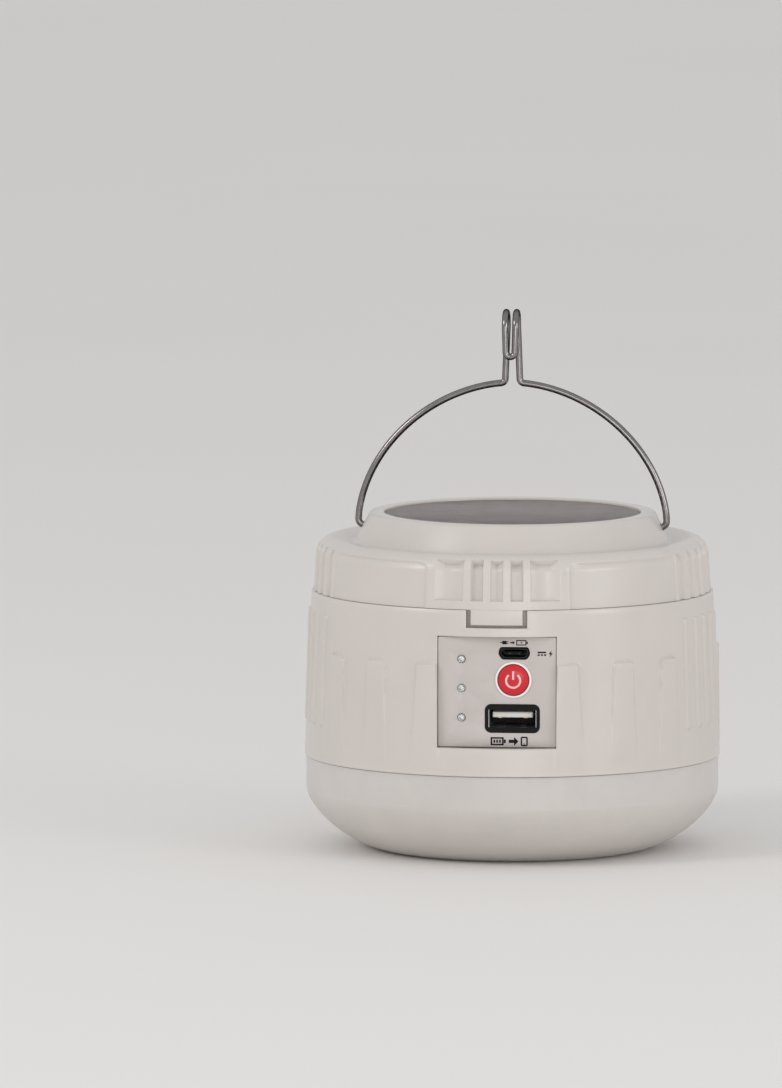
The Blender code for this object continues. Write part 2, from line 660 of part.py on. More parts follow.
def sunk_sector(shape, middle, half, low):
    """Add the space of a pocket or flute, which wraps over the cover's edge."""
    beyond = COVER_EDGE + POCKET_BEYOND
    section = [(COVER_FOOT_RADIUS - POCKET_DEPTH, low)]
    section += [cover_edge_point(turn, POCKET_DEPTH) for turn in EDGE_TURNS
                if turn <= POCKET_TURN]
    section += [cover_edge_point(POCKET_TURN, COVER_EDGE - beyond),
                (COVER_FOOT_RADIUS + POCKET_BEYOND, low)]
    steps = max(1, round(half / 2.5))
    rings = []
    for step in range(steps + 1):
        turn = math.radians(middle - half + 2 * half * step / steps)
        rings.append([shape.verts.new((radius * math.sin(turn), -radius * math.cos(turn), z))
                      for radius, z in section])
    for ring, after in zip(rings, rings[1:]):
        for index in range(len(section)):
            beside = (index + 1) % len(section)
            shape.faces.new((ring[index], ring[beside], after[beside], after[index]))
    shape.faces.new(rings[0])
    shape.faces.new(rings[-1])


def cover_relief():
    """Pockets at the front and back and the flutes between the side ribs."""
    shape = bmesh.new()
    for turn in (0, 180):
        for start, stop in POCKET_EDGES:
            sunk_sector(shape, turn + (start + stop) / 2, (stop - start) / 2,
                        SEAM_HIGH + POCKET_SILL)
    for side in (-1, 1):
        for start in FLUTE_EDGES:
            half = FLUTE_WIDTH / 2
            sunk_sector(shape, side * (start + half), half, SEAM_HIGH - FLUTE_OVER)
    return place("cover_grooves", finish_mesh("cover_grooves", shape), cutter=True)


def build_top_cover():
    cover = turned("top_cover", cover_profile(), WHITE)
    cut(cover, cover_relief())
    tab_half = math.degrees(math.asin((NOTCH_WIDTH / 2 - TAB_SIDE_GAP) / HOUSING_TOP_RADIUS))
    tab = bmesh.new()
    curved_block(tab, 0, tab_half, tab_half, SPIGOT_RADIUS - SPIGOT_WALL / 2,
                 HOUSING_TOP_RADIUS - TAB_INSET, HOUSING_TOP_RADIUS - TAB_FACE_INSET,
                 SEAM_HIGH - NOTCH_DEPTH + TAB_FOOT_GAP, SEAM_HIGH + POCKET_SILL / 2)
    join(cover, place("front_tab", finish_mesh("front_tab", tab), cutter=True))
    boss_low = POST_TOP + GAP
    boss_high = SHOULDER - SHELL_WALL / 2
    for number, angle in enumerate(COVER_POST_ANGLES, 1):
        x, y = around(POST_RING, angle)
        join(cover, rod(f"cover_boss_{number}", POST_RADIUS - BOSS_SLIMMER, boss_high - boss_low,
                        (x, y, (boss_low + boss_high) / 2), cutter=True))
        cut(cover, rod(f"boss_pilot_{number}", SCREW_RADIUS + SLIDE_GAP, 2 * SCREW_BITE,
                       (x, y, boss_low), cutter=True))
    for side in (-1, 1):
        reach = COLLAR_AT_PIVOT - PIVOT_END + PIVOT_SOCKET_MORE
        socket_x = side * (COLLAR_AT_PIVOT - PIVOT_SOCKET_SET - reach / 2)
        socket_low = PIVOT_Z - WIRE_RADIUS - PIVOT_SOCKET_BELOW
        socket_high = SEAT - SEAT_WALL / 2
        join(cover, block(f"pivot_socket_{side}",
                          (reach, PIVOT_SOCKET_WIDTH, socket_high - socket_low),
                          (socket_x, 0, (socket_high + socket_low) / 2), cutter=True))
        bore_end = PIVOT_END - GAP
        length = COLLAR_FOOT - bore_end
        cut(cover, rod(f"pivot_bore_{side}", WIRE_RADIUS + GAP, length,
                       (side * (bore_end + length / 2), 0, PIVOT_Z), 'X', cutter=True))


# ================================================================ solar lid
def build_solar_lid():
    turned("solar_seal", [(SOLAR_RADIUS - SEAL_WIDTH, SEAL_TOP), (SOLAR_RADIUS, SEAL_TOP),
                          (SOLAR_RADIUS, SEAL_TOP - SEAL_THICKNESS),
                          (SOLAR_RADIUS - SEAL_WIDTH, SEAL_TOP - SEAL_THICKNESS)], FOAM,
           segments=36)
    rod("solar_backing", SOLAR_RADIUS, BACKING_THICKNESS,
        (0, 0, BACKING_TOP - BACKING_THICKNESS / 2), look=LAMP_WHITE, segments=48)
    cells = rod("solar_cells", SOLAR_RADIUS - CELL_EDGE, CELL_THICKNESS,
                (0, 0, CELLS_TOP - CELL_THICKNESS / 2), look=SILICON, segments=SEGMENTS)
    pitch = 2 * SOLAR_RADIUS / CELL_STRIPS
    for number in range(1, CELL_STRIPS):
        x = -SOLAR_RADIUS + pitch * number
        cut(cells, block(f"cell_groove_{number}", (CELL_GROOVE, 3 * SOLAR_RADIUS, CELL_THICKNESS),
                         (x, 0, CELLS_TOP), cutter=True))
    rod("solar_pane", SOLAR_RADIUS, PANE_THICKNESS, (0, 0, PANE_TOP - PANE_THICKNESS / 2),
        look=PANE, segments=SEGMENTS)


# ================================================================ bail
def bail_half_path():
    """One side of the bail, from its end in the collar to the foot of the hook's tongue."""
    arch = []
    for degrees in range(8, 86, 6):
        angle = math.radians(degrees)
        arch.append(Vector((BAIL_HALF * math.cos(angle) ** (2 / BAIL_ROUND), 0,
                            BAIL_RISE * math.sin(angle) ** (2 / BAIL_ROUND))))
    end = Vector((PIVOT_END, 0, 0))
    knee = Vector((BAIL_HALF, 0, 0))
    neck_foot = Vector((NECK_HALF, 0, BAIL_RISE))
    crown_foot = Vector((CROWN_HALF, 0, BAIL_RISE + NECK_RISE))
    path = [end] + arc_between(end, knee, arch[0], WIRE_BEND, 5) + arch
    path += arc_between(arch[-1], neck_foot, crown_foot, WIRE_BEND, 5)
    for step in range(11):
        angle = math.pi * step / 10
        path.append(crown_foot + Vector((0, -CROWN_RADIUS * (1 - math.cos(angle)),
                                         CROWN_RADIUS * math.sin(angle))))
    foot = Vector((TONGUE_HALF, -2 * CROWN_RADIUS, crown_foot.z - TONGUE_DROP))
    for step in range(5):
        angle = math.pi / 2 * step / 4
        path.append(foot + Vector((-TONGUE_HALF * (1 - math.cos(angle)), 0,
                                   -TONGUE_HALF * math.sin(angle))))
    return path


def build_bail():
    right = bail_half_path()
    left = [Vector((-point.x, point.y, point.z)) for point in right[:-1]]
    bail = wire("bail_handle", right + left[::-1], WIRE_RADIUS, STEEL)
    bail.parent = pivot_empty("bail_axis", (0, 0, PIVOT_Z))


# ================================================================ control panel
def panel_point(place_on_panel, y):
    """A point at a depth behind a place given from the panel's middle."""
    return (place_on_panel[0], y, PANEL_Z + place_on_panel[1])


def build_control_panel():
    depth = FLANGE_FACE + PANEL_LAND - PANEL_FACE
    panel = block("control_panel", (PANEL_WIDTH, depth, PANEL_HEIGHT),
                  (0, PANEL_FACE + depth / 2, PANEL_Z), PANEL_GREY)
    flange_half = OPENING_HALF + PANEL_FLANGE
    flange_low = max(PANEL_Z - PANEL_HEIGHT / 2 - PANEL_GAP - PANEL_FLANGE, FLOOR_HIGH + GAP)
    flange_high = OPENING_TOP + PANEL_FLANGE
    join(panel, block("panel_flange", (2 * flange_half, FLANGE_THICKNESS,
                                       flange_high - flange_low),
                      (0, (FLANGE_FACE + FLANGE_BACK) / 2, (flange_low + flange_high) / 2),
                      cutter=True))
    pocket_depth = FLANGE_BACK - PANEL_BACK + OVERCUT / 2
    cut(panel, block("panel_pocket", (PANEL_POCKET_WIDTH, pocket_depth,
                                      PANEL_HEIGHT - PANEL_POCKET_MARGIN),
                     (PANEL_POCKET_SHIFT, PANEL_BACK + pocket_depth / 2, PANEL_Z), cutter=True))
    for number, side in enumerate((-1, 1), 1):
        post_y = FLANGE_BACK - FLANGE_THICKNESS / 2
        length = BOARD_FACE - GAP - post_y
        x = side * BOARD_POST_AT
        join(panel, rod(f"board_post_{number}", BOARD_POST_RADIUS, length,
                        (x, post_y + length / 2, PANEL_Z - BOARD_POST_DROP), 'Y', cutter=True))
        cut(panel, rod(f"board_pilot_{number}", SMALL_SCREW_RADIUS + SLIDE_GAP,
                       2 * POST_BITE, (x, BOARD_FACE - GAP, PANEL_Z - BOARD_POST_DROP),
                       'Y', cutter=True))
    join(panel, rod("button_ring", BUTTON_RADIUS + SLIDE_GAP + BUTTON_RING,
                    RING_PROUD + PANEL_WALL / 2,
                    panel_point(BUTTON_AT, PANEL_FACE + (PANEL_WALL / 2 - RING_PROUD) / 2),
                    'Y', cutter=True, segments=24))
    cut(panel, rod("button_hole", BUTTON_RADIUS + SLIDE_GAP, THROUGH,
                   panel_point(BUTTON_AT, PANEL_FACE), 'Y', cutter=True, segments=24))
    cut(panel, block("usb_a_hole", (USB_A_HOLE[0], THROUGH, USB_A_HOLE[1]),
                     panel_point(USB_A_AT, PANEL_FACE), cutter=True, corner=USB_A_CORNER))
    cut(panel, block("micro_usb_hole", (MICRO_HOLE[0], THROUGH, MICRO_HOLE[1]),
                     panel_point(MICRO_AT, PANEL_FACE), cutter=True, corner=MICRO_CORNER))
    for number, step in enumerate(LED_STEPS, 1):
        cut(panel, rod(f"led_hole_{number}", LED_RADIUS + SLIDE_GAP, THROUGH,
                       panel_point((LED_SIDE, step), PANEL_FACE), 'Y', cutter=True,
                       segments=16))


def build_button():
    face = -BUTTON_PROUD
    profile = [(0.0, face), (BUTTON_RADIUS * 0.55, face + 0.0001),
               (BUTTON_RADIUS - 0.0005, face + 0.0004), (BUTTON_RADIUS, face + 0.0009)]
    flange_y = PANEL_WALL + 0.0004
    profile += [(BUTTON_RADIUS, flange_y), (BUTTON_RADIUS + 0.0010, flange_y),
                (BUTTON_RADIUS + 0.0010, flange_y + 0.0008), (STEM_RADIUS, flange_y + 0.0008),
                (STEM_RADIUS, CAP_LENGTH), (0.0, CAP_LENGTH)]
    cap = turned("power_button", [(radius, -height) for radius, height in profile], RED,
                 closed=False, segments=24, axis='Y')
    cap.rotation_euler = (math.pi / 2, 0, 0)
    slide = pivot_empty("power_axis", panel_point(BUTTON_AT, PANEL_FACE))
    cap.parent = slide
    body_front = BOARD_FACE - GAP - SWITCH_SIZE[1]
    start = PANEL_FACE + CAP_LENGTH + GAP
    stop = body_front + PLUNGER_ENTRY
    plunger = rod("switch_plunger", STEM_RADIUS, stop - start,
                  (0, (start + stop) / 2 - PANEL_FACE, 0), 'Y', BLACK)
    plunger.parent = slide
    body = block("switch_body", SWITCH_SIZE,
                 panel_point(BUTTON_AT, body_front + SWITCH_SIZE[1] / 2), BLACK)
    cut(body, rod("plunger_bore", STEM_RADIUS + GAP,
                  2 * (PLUNGER_ENTRY + BUTTON_TRAVEL + GAP),
                  panel_point(BUTTON_AT, body_front), 'Y', cutter=True))


def port_shell(name, place_on_panel, size, wall, length, look):
    """A tin sleeve, open at both ends."""
    middle = PORT_FACE + length / 2
    shell = block(name, (size[0], length, size[1]), panel_point(place_on_panel, middle),
                  look, corner=SHELL_CORNER)
    bore = block(name + "_bore", (size[0] - 2 * wall, 2 * length, size[1] - 2 * wall),
                 panel_point(place_on_panel, middle), cutter=True)
    cut(shell, bore)


def port_insert(name, place_on_panel, size, wall, length, look, tongue, lift):
    """The moulded insert: a block at the back of the sleeve and the contact tongue."""
    inner = (size[0] - 2 * wall - 2 * GAP, size[1] - 2 * wall - 2 * GAP)
    back = PORT_FACE + length
    root = length * 0.22
    insert = block(name, (inner[0], root, inner[1]),
                   panel_point(place_on_panel, back - root / 2), look)
    reach = length * 0.90
    at = (place_on_panel[0], place_on_panel[1] + lift)
    join(insert, block(name + "_tongue", (tongue[0], reach, tongue[1]),
                       panel_point(at, back - INSERT_LAP - reach / 2), cutter=True))


def build_ports():
    port_shell("usb_a_shell", USB_A_AT, USB_A_SIZE, USB_A_WALL, USB_A_LENGTH, TIN)
    port_insert("usb_a_insert", USB_A_AT, USB_A_SIZE, USB_A_WALL, USB_A_LENGTH, PALE,
                USB_A_TONGUE, USB_A_LIFT)
    port_shell("micro_usb_shell", MICRO_AT, MICRO_SIZE, MICRO_WALL, MICRO_LENGTH, TIN)
    port_insert("micro_usb_insert", MICRO_AT, MICRO_SIZE, MICRO_WALL, MICRO_LENGTH, BLACK,
                MICRO_TONGUE, MICRO_LIFT)
    gasket_y = PANEL_BACK + GAP
    gasket = block("usb_a_gasket", (USB_A_HOLE[0] + GASKET_MORE, GASKET_THICKNESS,
                                     USB_A_HOLE[1] + GASKET_MORE),
                   panel_point(USB_A_AT, gasket_y + GASKET_THICKNESS / 2), BLACK)
    cut(gasket, block("gasket_hole", (USB_A_SIZE[0] + 2 * GAP, THROUGH,
                                      USB_A_SIZE[1] + 2 * GAP),
                      panel_point(USB_A_AT, gasket_y), cutter=True))


def build_boards():
    board = block("control_board", (BOARD_SIZE[0], BOARD_THICKNESS, BOARD_SIZE[1]),
                  (0, BOARD_FACE + BOARD_THICKNESS / 2, PANEL_Z), BOARD)
    for number, side in enumerate((-1, 1), 1):
        x = side * BOARD_POST_AT
        cut(board, rod(f"board_hole_{number}", SMALL_SCREW_RADIUS + GAP, THROUGH,
                       (x, BOARD_FACE, PANEL_Z - BOARD_POST_DROP), 'Y', cutter=True))
        screw(f"board_screw_{number}", (x, BOARD_BACK + GAP, PANEL_Z - BOARD_POST_DROP), (0, -1, 0),
              POST_BITE - TIP_GAP + BOARD_THICKNESS + 2 * GAP)
    charge_at = panel_point(MICRO_AT, CHARGE_FACE + CHARGE_BOARD[1] / 2)
    block("charge_board", CHARGE_BOARD, charge_at, BOARD)
    header_y = CHARGE_FACE + CHARGE_BOARD[1] + GAP
    header_length = BOARD_FACE - GAP - header_y
    block("board_header", (HEADER_SIZE[0], header_length, HEADER_SIZE[1]),
          panel_point(MICRO_AT, header_y + header_length / 2), BLACK)
    block("power_inductor", INDUCTOR_SIZE,
          (-0.0080, BOARD_BACK + GAP + INDUCTOR_SIZE[1] / 2, PANEL_Z - 0.0070), BLACK,
          corner=0.0012)
    block("controller_chip", CONTROLLER_SIZE,
          (0.0040, BOARD_BACK + GAP + CONTROLLER_SIZE[1] / 2, PANEL_Z + 0.0020), BLACK)


def build_indicators():
    for number, step in enumerate(LED_STEPS, 1):
        flange_y = PANEL_WALL + GAP
        profile = [(0.0, -0.0006), (LED_RADIUS * 0.6, -0.0004), (LED_RADIUS, 0.0003),
                   (LED_RADIUS, flange_y), (LED_RADIUS + 0.0004, flange_y),
                   (LED_RADIUS + 0.0004, flange_y + 0.0010), (0.0, flange_y + 0.0010)]
        lamp = turned(f"indicator_led_{number}", [(radius, -height) for radius, height in profile],
                      CLEAR, panel_point((LED_SIDE, step), PANEL_FACE), closed=False,
                      segments=12, axis='Y')
        start = PANEL_FACE + flange_y + LAMP_FLANGE_LAP
        length = BOARD_FACE - GAP - start
        for side in (-1, 1):
            leg_at = (LED_SIDE + side * LED_LEG_GAP / 2, step)
            join(lamp, block(f"led_{number}_leg_{side}", (LED_LEG, length, LED_LEG),
                             panel_point(leg_at, start + length / 2), cutter=True))


# ================================================================ screws
def screw(name, seat, direction, reach, radius=SMALL_SCREW_RADIUS,
          head_radius=SMALL_HEAD_RADIUS, head=SMALL_HEAD):
    """A pan-head screw whose head stands behind its seat, with its shank ahead of it."""
    slot_half = 0.00022
    profile = [(0.0, head), (head_radius * 0.7, head), (head_radius, head * 0.55),
               (head_radius, 0.0), (radius, 0.0), (radius, -reach + radius * 0.8),
               (radius * 0.4, -reach), (0.0, -reach)]
    made = turned(name, profile, SCREW_STEEL, seat, closed=False, segments=12)
    turn = Vector((0, 0, -1)).rotation_difference(Vector(direction)).to_matrix().to_4x4()
    made.matrix_world = Matrix.Translation(Vector(seat)) @ turn
    for number, angle in enumerate((0, math.pi / 2)):
        size = (head_radius * 1.1, 2 * slot_half, head * 0.9)
        slot = block(f"{name}_slot_{number}", size, (0, 0, 0), cutter=True)
        slot.matrix_world = (Matrix.Translation(Vector(seat)) @ turn
                             @ Matrix.Rotation(angle, 4, 'Z')
                             @ Matrix.Translation((0, 0, head)))
        cut(made, slot)
    return made


def build_cover_screws():
    for number, angle in enumerate(COVER_POST_ANGLES, 1):
        x, y = around(POST_RING, angle)
        screw(f"cover_screw_{number}", (x, y, POST_TOP - SCREW_SHELF - GAP), (0, 0, 1),
              SCREW_SHELF + SCREW_BITE - TIP_GAP, SCREW_RADIUS, SCREW_HEAD_RADIUS, SCREW_HEAD)


# ================================================================ lamp board
def build_lamp_board():
    board = rod("led_board", LAMP_BOARD_RADIUS, LAMP_BOARD_THICKNESS,
                (0, 0, (LAMP_BOARD_TOP + LAMP_BOARD_LOW) / 2), look=LAMP_WHITE, segments=48)
    for number, angle in enumerate(LAMP_SCREW_ANGLES, 1):
        x, y = around(LAMP_SCREW_RING, angle)
        cut(board, rod(f"lamp_hole_{number}", SMALL_SCREW_RADIUS + GAP, THROUGH,
                       (x, y, LAMP_BOARD_LOW), cutter=True))
        screw(f"led_board_screw_{number}", (x, y, LAMP_BOARD_LOW - GAP), (0, 0, 1),
              LAMP_BOARD_THICKNESS + 2 * GAP + FLOOR_BITE - TIP_GAP)
    places = [(0.0, 0.0, 0.0)]
    for number in range(CHIP_COUNT):
        angle = 360.0 * (number + 0.5) / CHIP_COUNT + 90
        places.append((*around(CHIP_RING, angle), angle))
    for number, (x, y, angle) in enumerate(places, 1):
        chip = block(f"led_chip_{number:02d}", CHIP_SIZE,
                     (x, y, LAMP_BOARD_LOW - GAP - CHIP_SIZE[2] / 2), PHOSPHOR)
        chip.rotation_euler = (0, 0, math.radians(angle))


# ================================================================ battery
def tray_screw_places():
    """X of the two screws that hold the tray's ears."""
    ear = TRAY_INNER + TRAY_WALL + SMALL_HEAD_RADIUS + EAR_ROOM
    return (-ear, ear)


def cell_places():
    return (BATTERY_Y - CELL_PITCH / 2, BATTERY_Y + CELL_PITCH / 2)


def build_battery():
    half_y = CELL_PITCH / 2 + CELL_RADIUS + CELL_GAP + TRAY_WALL
    tray = block("battery_tray", (2 * (TRAY_INNER + TRAY_WALL), 2 * half_y,
                                  TRAY_HIGH - TRAY_LOW),
                 (0, BATTERY_Y, (TRAY_HIGH + TRAY_LOW) / 2), BLACK)
    for number, x in enumerate(tray_screw_places(), 1):
        ear_length = abs(x) + SMALL_HEAD_RADIUS + EAR_END - TRAY_INNER
        ear_x = math.copysign(TRAY_INNER + ear_length / 2, x)
        join(tray, block(f"tray_ear_{number}", (ear_length, EAR_WIDTH, EAR_THICKNESS),
                         (ear_x, BATTERY_Y, TRAY_LOW + EAR_THICKNESS / 2), cutter=True))
        cut(tray, rod(f"ear_hole_{number}", SMALL_SCREW_RADIUS + GAP, THROUGH,
                      (x, BATTERY_Y, TRAY_LOW), cutter=True))
        screw(f"tray_screw_{number}", (x, BATTERY_Y, TRAY_LOW + EAR_THICKNESS + GAP), (0, 0, -1),
              EAR_THICKNESS + 2 * GAP + FLOOR_BITE - TIP_GAP)
    for number, y in enumerate(cell_places(), 1):
        cut(tray, rod(f"cell_bed_{number}", CELL_RADIUS + CELL_GAP, 2 * TRAY_INNER,
                      (0, y, CELL_Z), 'X', cutter=True, segments=24))
        build_cell(f"battery_cell_{number}", y)
    for name, side in (("cell_link_left", -1), ("cell_link_right", 1)):
        cut(tray, block(name + "_slot", (2 * (TRAY_INNER - CELL_LENGTH / 2), CELL_PITCH + 0.008,
                                         LINK_WIDTH + 0.004),
                        (side * CELL_LENGTH / 2, BATTERY_Y, CELL_Z + 0.001),
                        cutter=True))
        block(name, (LINK_THICKNESS, CELL_PITCH + 0.005, LINK_WIDTH),
              (side * LINK_AT, BATTERY_Y, CELL_Z), NICKEL)


def build_cell(name, y):
    """A wrapped cell with its crimp groove near the positive end."""
    half = CELL_LENGTH / 2
    groove = half - 0.0045
    profile = [(0.0, half), (CELL_RADIUS * 0.42, half), (CELL_RADIUS * 0.42, half - 0.0006),
               (CELL_RADIUS - 0.0006, half - 0.0006), (CELL_RADIUS, half - 0.0012),
               (CELL_RADIUS, groove + 0.0008), (CELL_RADIUS - 0.0004, groove),
               (CELL_RADIUS, groove - 0.0008), (CELL_RADIUS, -half + 0.0005),
               (CELL_RADIUS - 0.0005, -half), (0.0, -half)]
    turned(name, profile, WRAP, (0, y, CELL_Z), closed=False, segments=24, axis='X')


# ================================================================ leads
def build_leads():
    """Three pairs of leads: battery, solar panel and lamp board to the control board."""
    board_end = BOARD_BACK + GAP
    link_top = CELL_Z + 0.0036 + LEAD_RADIUS
    for name, side, look in (("battery_lead_red", 1, RED_LEAD),
                             ("battery_lead_black", -1, BLACK_LEAD)):
        start = (side * (LINK_AT + LEAD_RADIUS / 2), BATTERY_Y, link_top)
        route = [start, (side * (LINK_AT + 0.0006), BATTERY_Y - 0.002, link_top + 0.006),
                 (side * (LINK_AT - 0.001), BATTERY_Y - 0.018, link_top + 0.008),
                 (side * (LINK_AT - 0.008), BOARD_BACK + 0.016, link_top + 0.003),
                 (side * 0.0115, BOARD_BACK + 0.006, PANEL_Z - 0.0105),
                 (side * 0.0115, board_end, PANEL_Z - 0.0110)]
        wire(name, smooth_route(route), LEAD_RADIUS, look)
    lead_top = BACKING_TOP - BACKING_THICKNESS - GAP
    for name, side, look in (("solar_lead_red", 1, RED_LEAD),
                             ("solar_lead_black", -1, BLACK_LEAD)):
        x = side * 0.0012
        route = [(x, 0, lead_top), (x, 0, SEAT - SEAT_WALL - 0.003),
                 (x - 0.002, -0.006, SHOULDER - 0.014), (x - 0.005, -0.020, SHOULDER - 0.018),
                 (x - 0.006, BOARD_BACK + 0.008, PANEL_Z + 0.0130),
                 (x - 0.006, board_end, PANEL_Z + 0.0105)]
        wire(name, smooth_route(route), LEAD_RADIUS, look)
    for name, side, look in (("led_lead_red", 1, RED_LEAD),
                             ("led_lead_black", -1, BLACK_LEAD)):
        x = LAMP_HOLE_AT[0] + side * 0.0011
        route = [(x, LAMP_HOLE_AT[1], LAMP_BOARD_TOP + GAP),
                 (x, LAMP_HOLE_AT[1], FLOOR_HIGH + 0.003),
                 (x, LAMP_HOLE_AT[1] - 0.002, FLOOR_HIGH + 0.006),
                 (x, board_end, FLOOR_HIGH + 0.0062)]
        wire(name, smooth_route(route), LEAD_RADIUS, look)


build_diffuser()
build_housing()
build_top_cover()
build_solar_lid()
build_bail()
build_control_panel()
build_button()
build_ports()
build_boards()
build_indicators()
build_cover_screws()
build_lamp_board()
build_battery()
build_leads()
bpy.context.view_layer.update()
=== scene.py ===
"""Solar lantern: the looks of its casing, solar lid, wire bail, control panel and works.

Metres, +Z up. The control panel faces -Y and the bail turns about an axis along X.
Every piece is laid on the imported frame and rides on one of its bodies.
"""
import json
import math

import bmesh
import bpy
import numpy as np
from bpy.props import FloatProperty, FloatVectorProperty, IntProperty, PointerProperty
from mathutils import Matrix, Vector


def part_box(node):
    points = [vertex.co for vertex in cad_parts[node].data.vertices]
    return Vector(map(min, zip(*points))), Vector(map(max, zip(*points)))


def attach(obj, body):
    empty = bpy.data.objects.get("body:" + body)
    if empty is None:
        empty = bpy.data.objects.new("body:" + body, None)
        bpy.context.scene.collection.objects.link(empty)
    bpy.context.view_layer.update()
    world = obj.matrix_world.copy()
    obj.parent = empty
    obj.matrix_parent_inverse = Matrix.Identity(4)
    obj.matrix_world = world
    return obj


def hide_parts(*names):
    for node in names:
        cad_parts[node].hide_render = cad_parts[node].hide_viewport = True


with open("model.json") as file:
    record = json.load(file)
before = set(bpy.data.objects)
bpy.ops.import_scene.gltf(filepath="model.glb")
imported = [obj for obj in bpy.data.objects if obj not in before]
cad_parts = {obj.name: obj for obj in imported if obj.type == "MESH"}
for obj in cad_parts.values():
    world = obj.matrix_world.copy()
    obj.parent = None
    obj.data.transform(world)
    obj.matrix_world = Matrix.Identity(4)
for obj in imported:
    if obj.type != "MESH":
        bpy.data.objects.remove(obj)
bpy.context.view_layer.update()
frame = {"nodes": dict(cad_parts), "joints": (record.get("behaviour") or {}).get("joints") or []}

bl_info = {
    "name": "Solar Lantern",
    "version": (1, 0, 0),
    "blender": (4, 5, 0),
    "location": "3D View > Sidebar > Lantern",
    "description": "Builds the visible pieces of a solar lantern round its packed frame",
    "category": "Object",
}

MM = 0.001
AXIS = 1e-6                     # radius of a turned section's end on its axis

# ---------------------------------------------------------------- places read off the frame
GAP = 0.3 * MM                  # kept between pieces that meet
SEAM_GAP = 0.06 * MM            # seen at a seam, from its middle to either moulding
HOUSING_LOW, HOUSING_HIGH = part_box("housing")
DIFFUSER_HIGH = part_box("diffuser")[1]
COVER_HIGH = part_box("top_cover")[1]
PANE_LOW, PANE_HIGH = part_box("solar_pane")
CELLS_LOW, CELLS_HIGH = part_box("solar_cells")
SEAL_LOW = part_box("solar_seal")[0]
BAIL_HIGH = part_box("bail_handle")[1]
CAP_LOW, CAP_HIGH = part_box("power_button")
OUTLET_LOW, OUTLET_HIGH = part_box("usb_a_shell")
INLET_LOW, INLET_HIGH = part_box("micro_usb_shell")
GASKET_LOW, GASKET_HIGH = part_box("usb_a_gasket")
PANEL_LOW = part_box("control_panel")[0]
BOARD_LOW, BOARD_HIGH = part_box("control_board")
SEAM_LOW = HOUSING_LOW.z - GAP / 2
SEAM_HIGH = HOUSING_HIGH.z + GAP / 2
RIM = COVER_HIGH.z
DIFFUSER_RADIUS = DIFFUSER_HIGH.x
SOLAR_RADIUS = PANE_HIGH.x
PIVOT_Z = next(j for j in frame["joints"] if j["name"] == "bail_swing")["pos_m"][2]
OUTLET_AT = (OUTLET_LOW + OUTLET_HIGH) / 2
INLET_AT = (INLET_LOW + INLET_HIGH) / 2
CAP_AT = (CAP_LOW + CAP_HIGH) / 2
OUTLET_SIZE = OUTLET_HIGH - OUTLET_LOW
INLET_SIZE = INLET_HIGH - INLET_LOW
FLOOR_LOW = DIFFUSER_HIGH.z + GAP              # of the floor inside the housing
FLOOR_HIGH = FLOOR_LOW + 3.0 * MM
PANEL_FACE = OUTLET_LOW.y - 0.3 * MM           # the sockets' mouths lie behind it
PANEL_AT = Vector((0.0, PANEL_FACE, (BOARD_LOW.z + BOARD_HIGH.z) / 2))
INDICATORS = ["indicator_led_1", "indicator_led_2", "indicator_led_3"]


def middle(name):
    """Middle (x, z) of a node seen from the front."""
    low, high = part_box(name)
    return (low.x + high.x) / 2, (low.z + high.z) / 2


def length(name, text, value):
    """A size that a user may change, kept in metres and named in millimetres here."""
    return FloatProperty(name=name, description=text, default=value * MM, unit='LENGTH',
                         precision=5)


def colour(name, text, value):
    return FloatVectorProperty(name=name, description=text, default=value, size=3,
                               subtype='COLOR', min=0.0, max=1.0)


def angle(name, text, degrees):
    return FloatProperty(name=name, description=text, default=math.radians(degrees),
                         subtype='ANGLE')


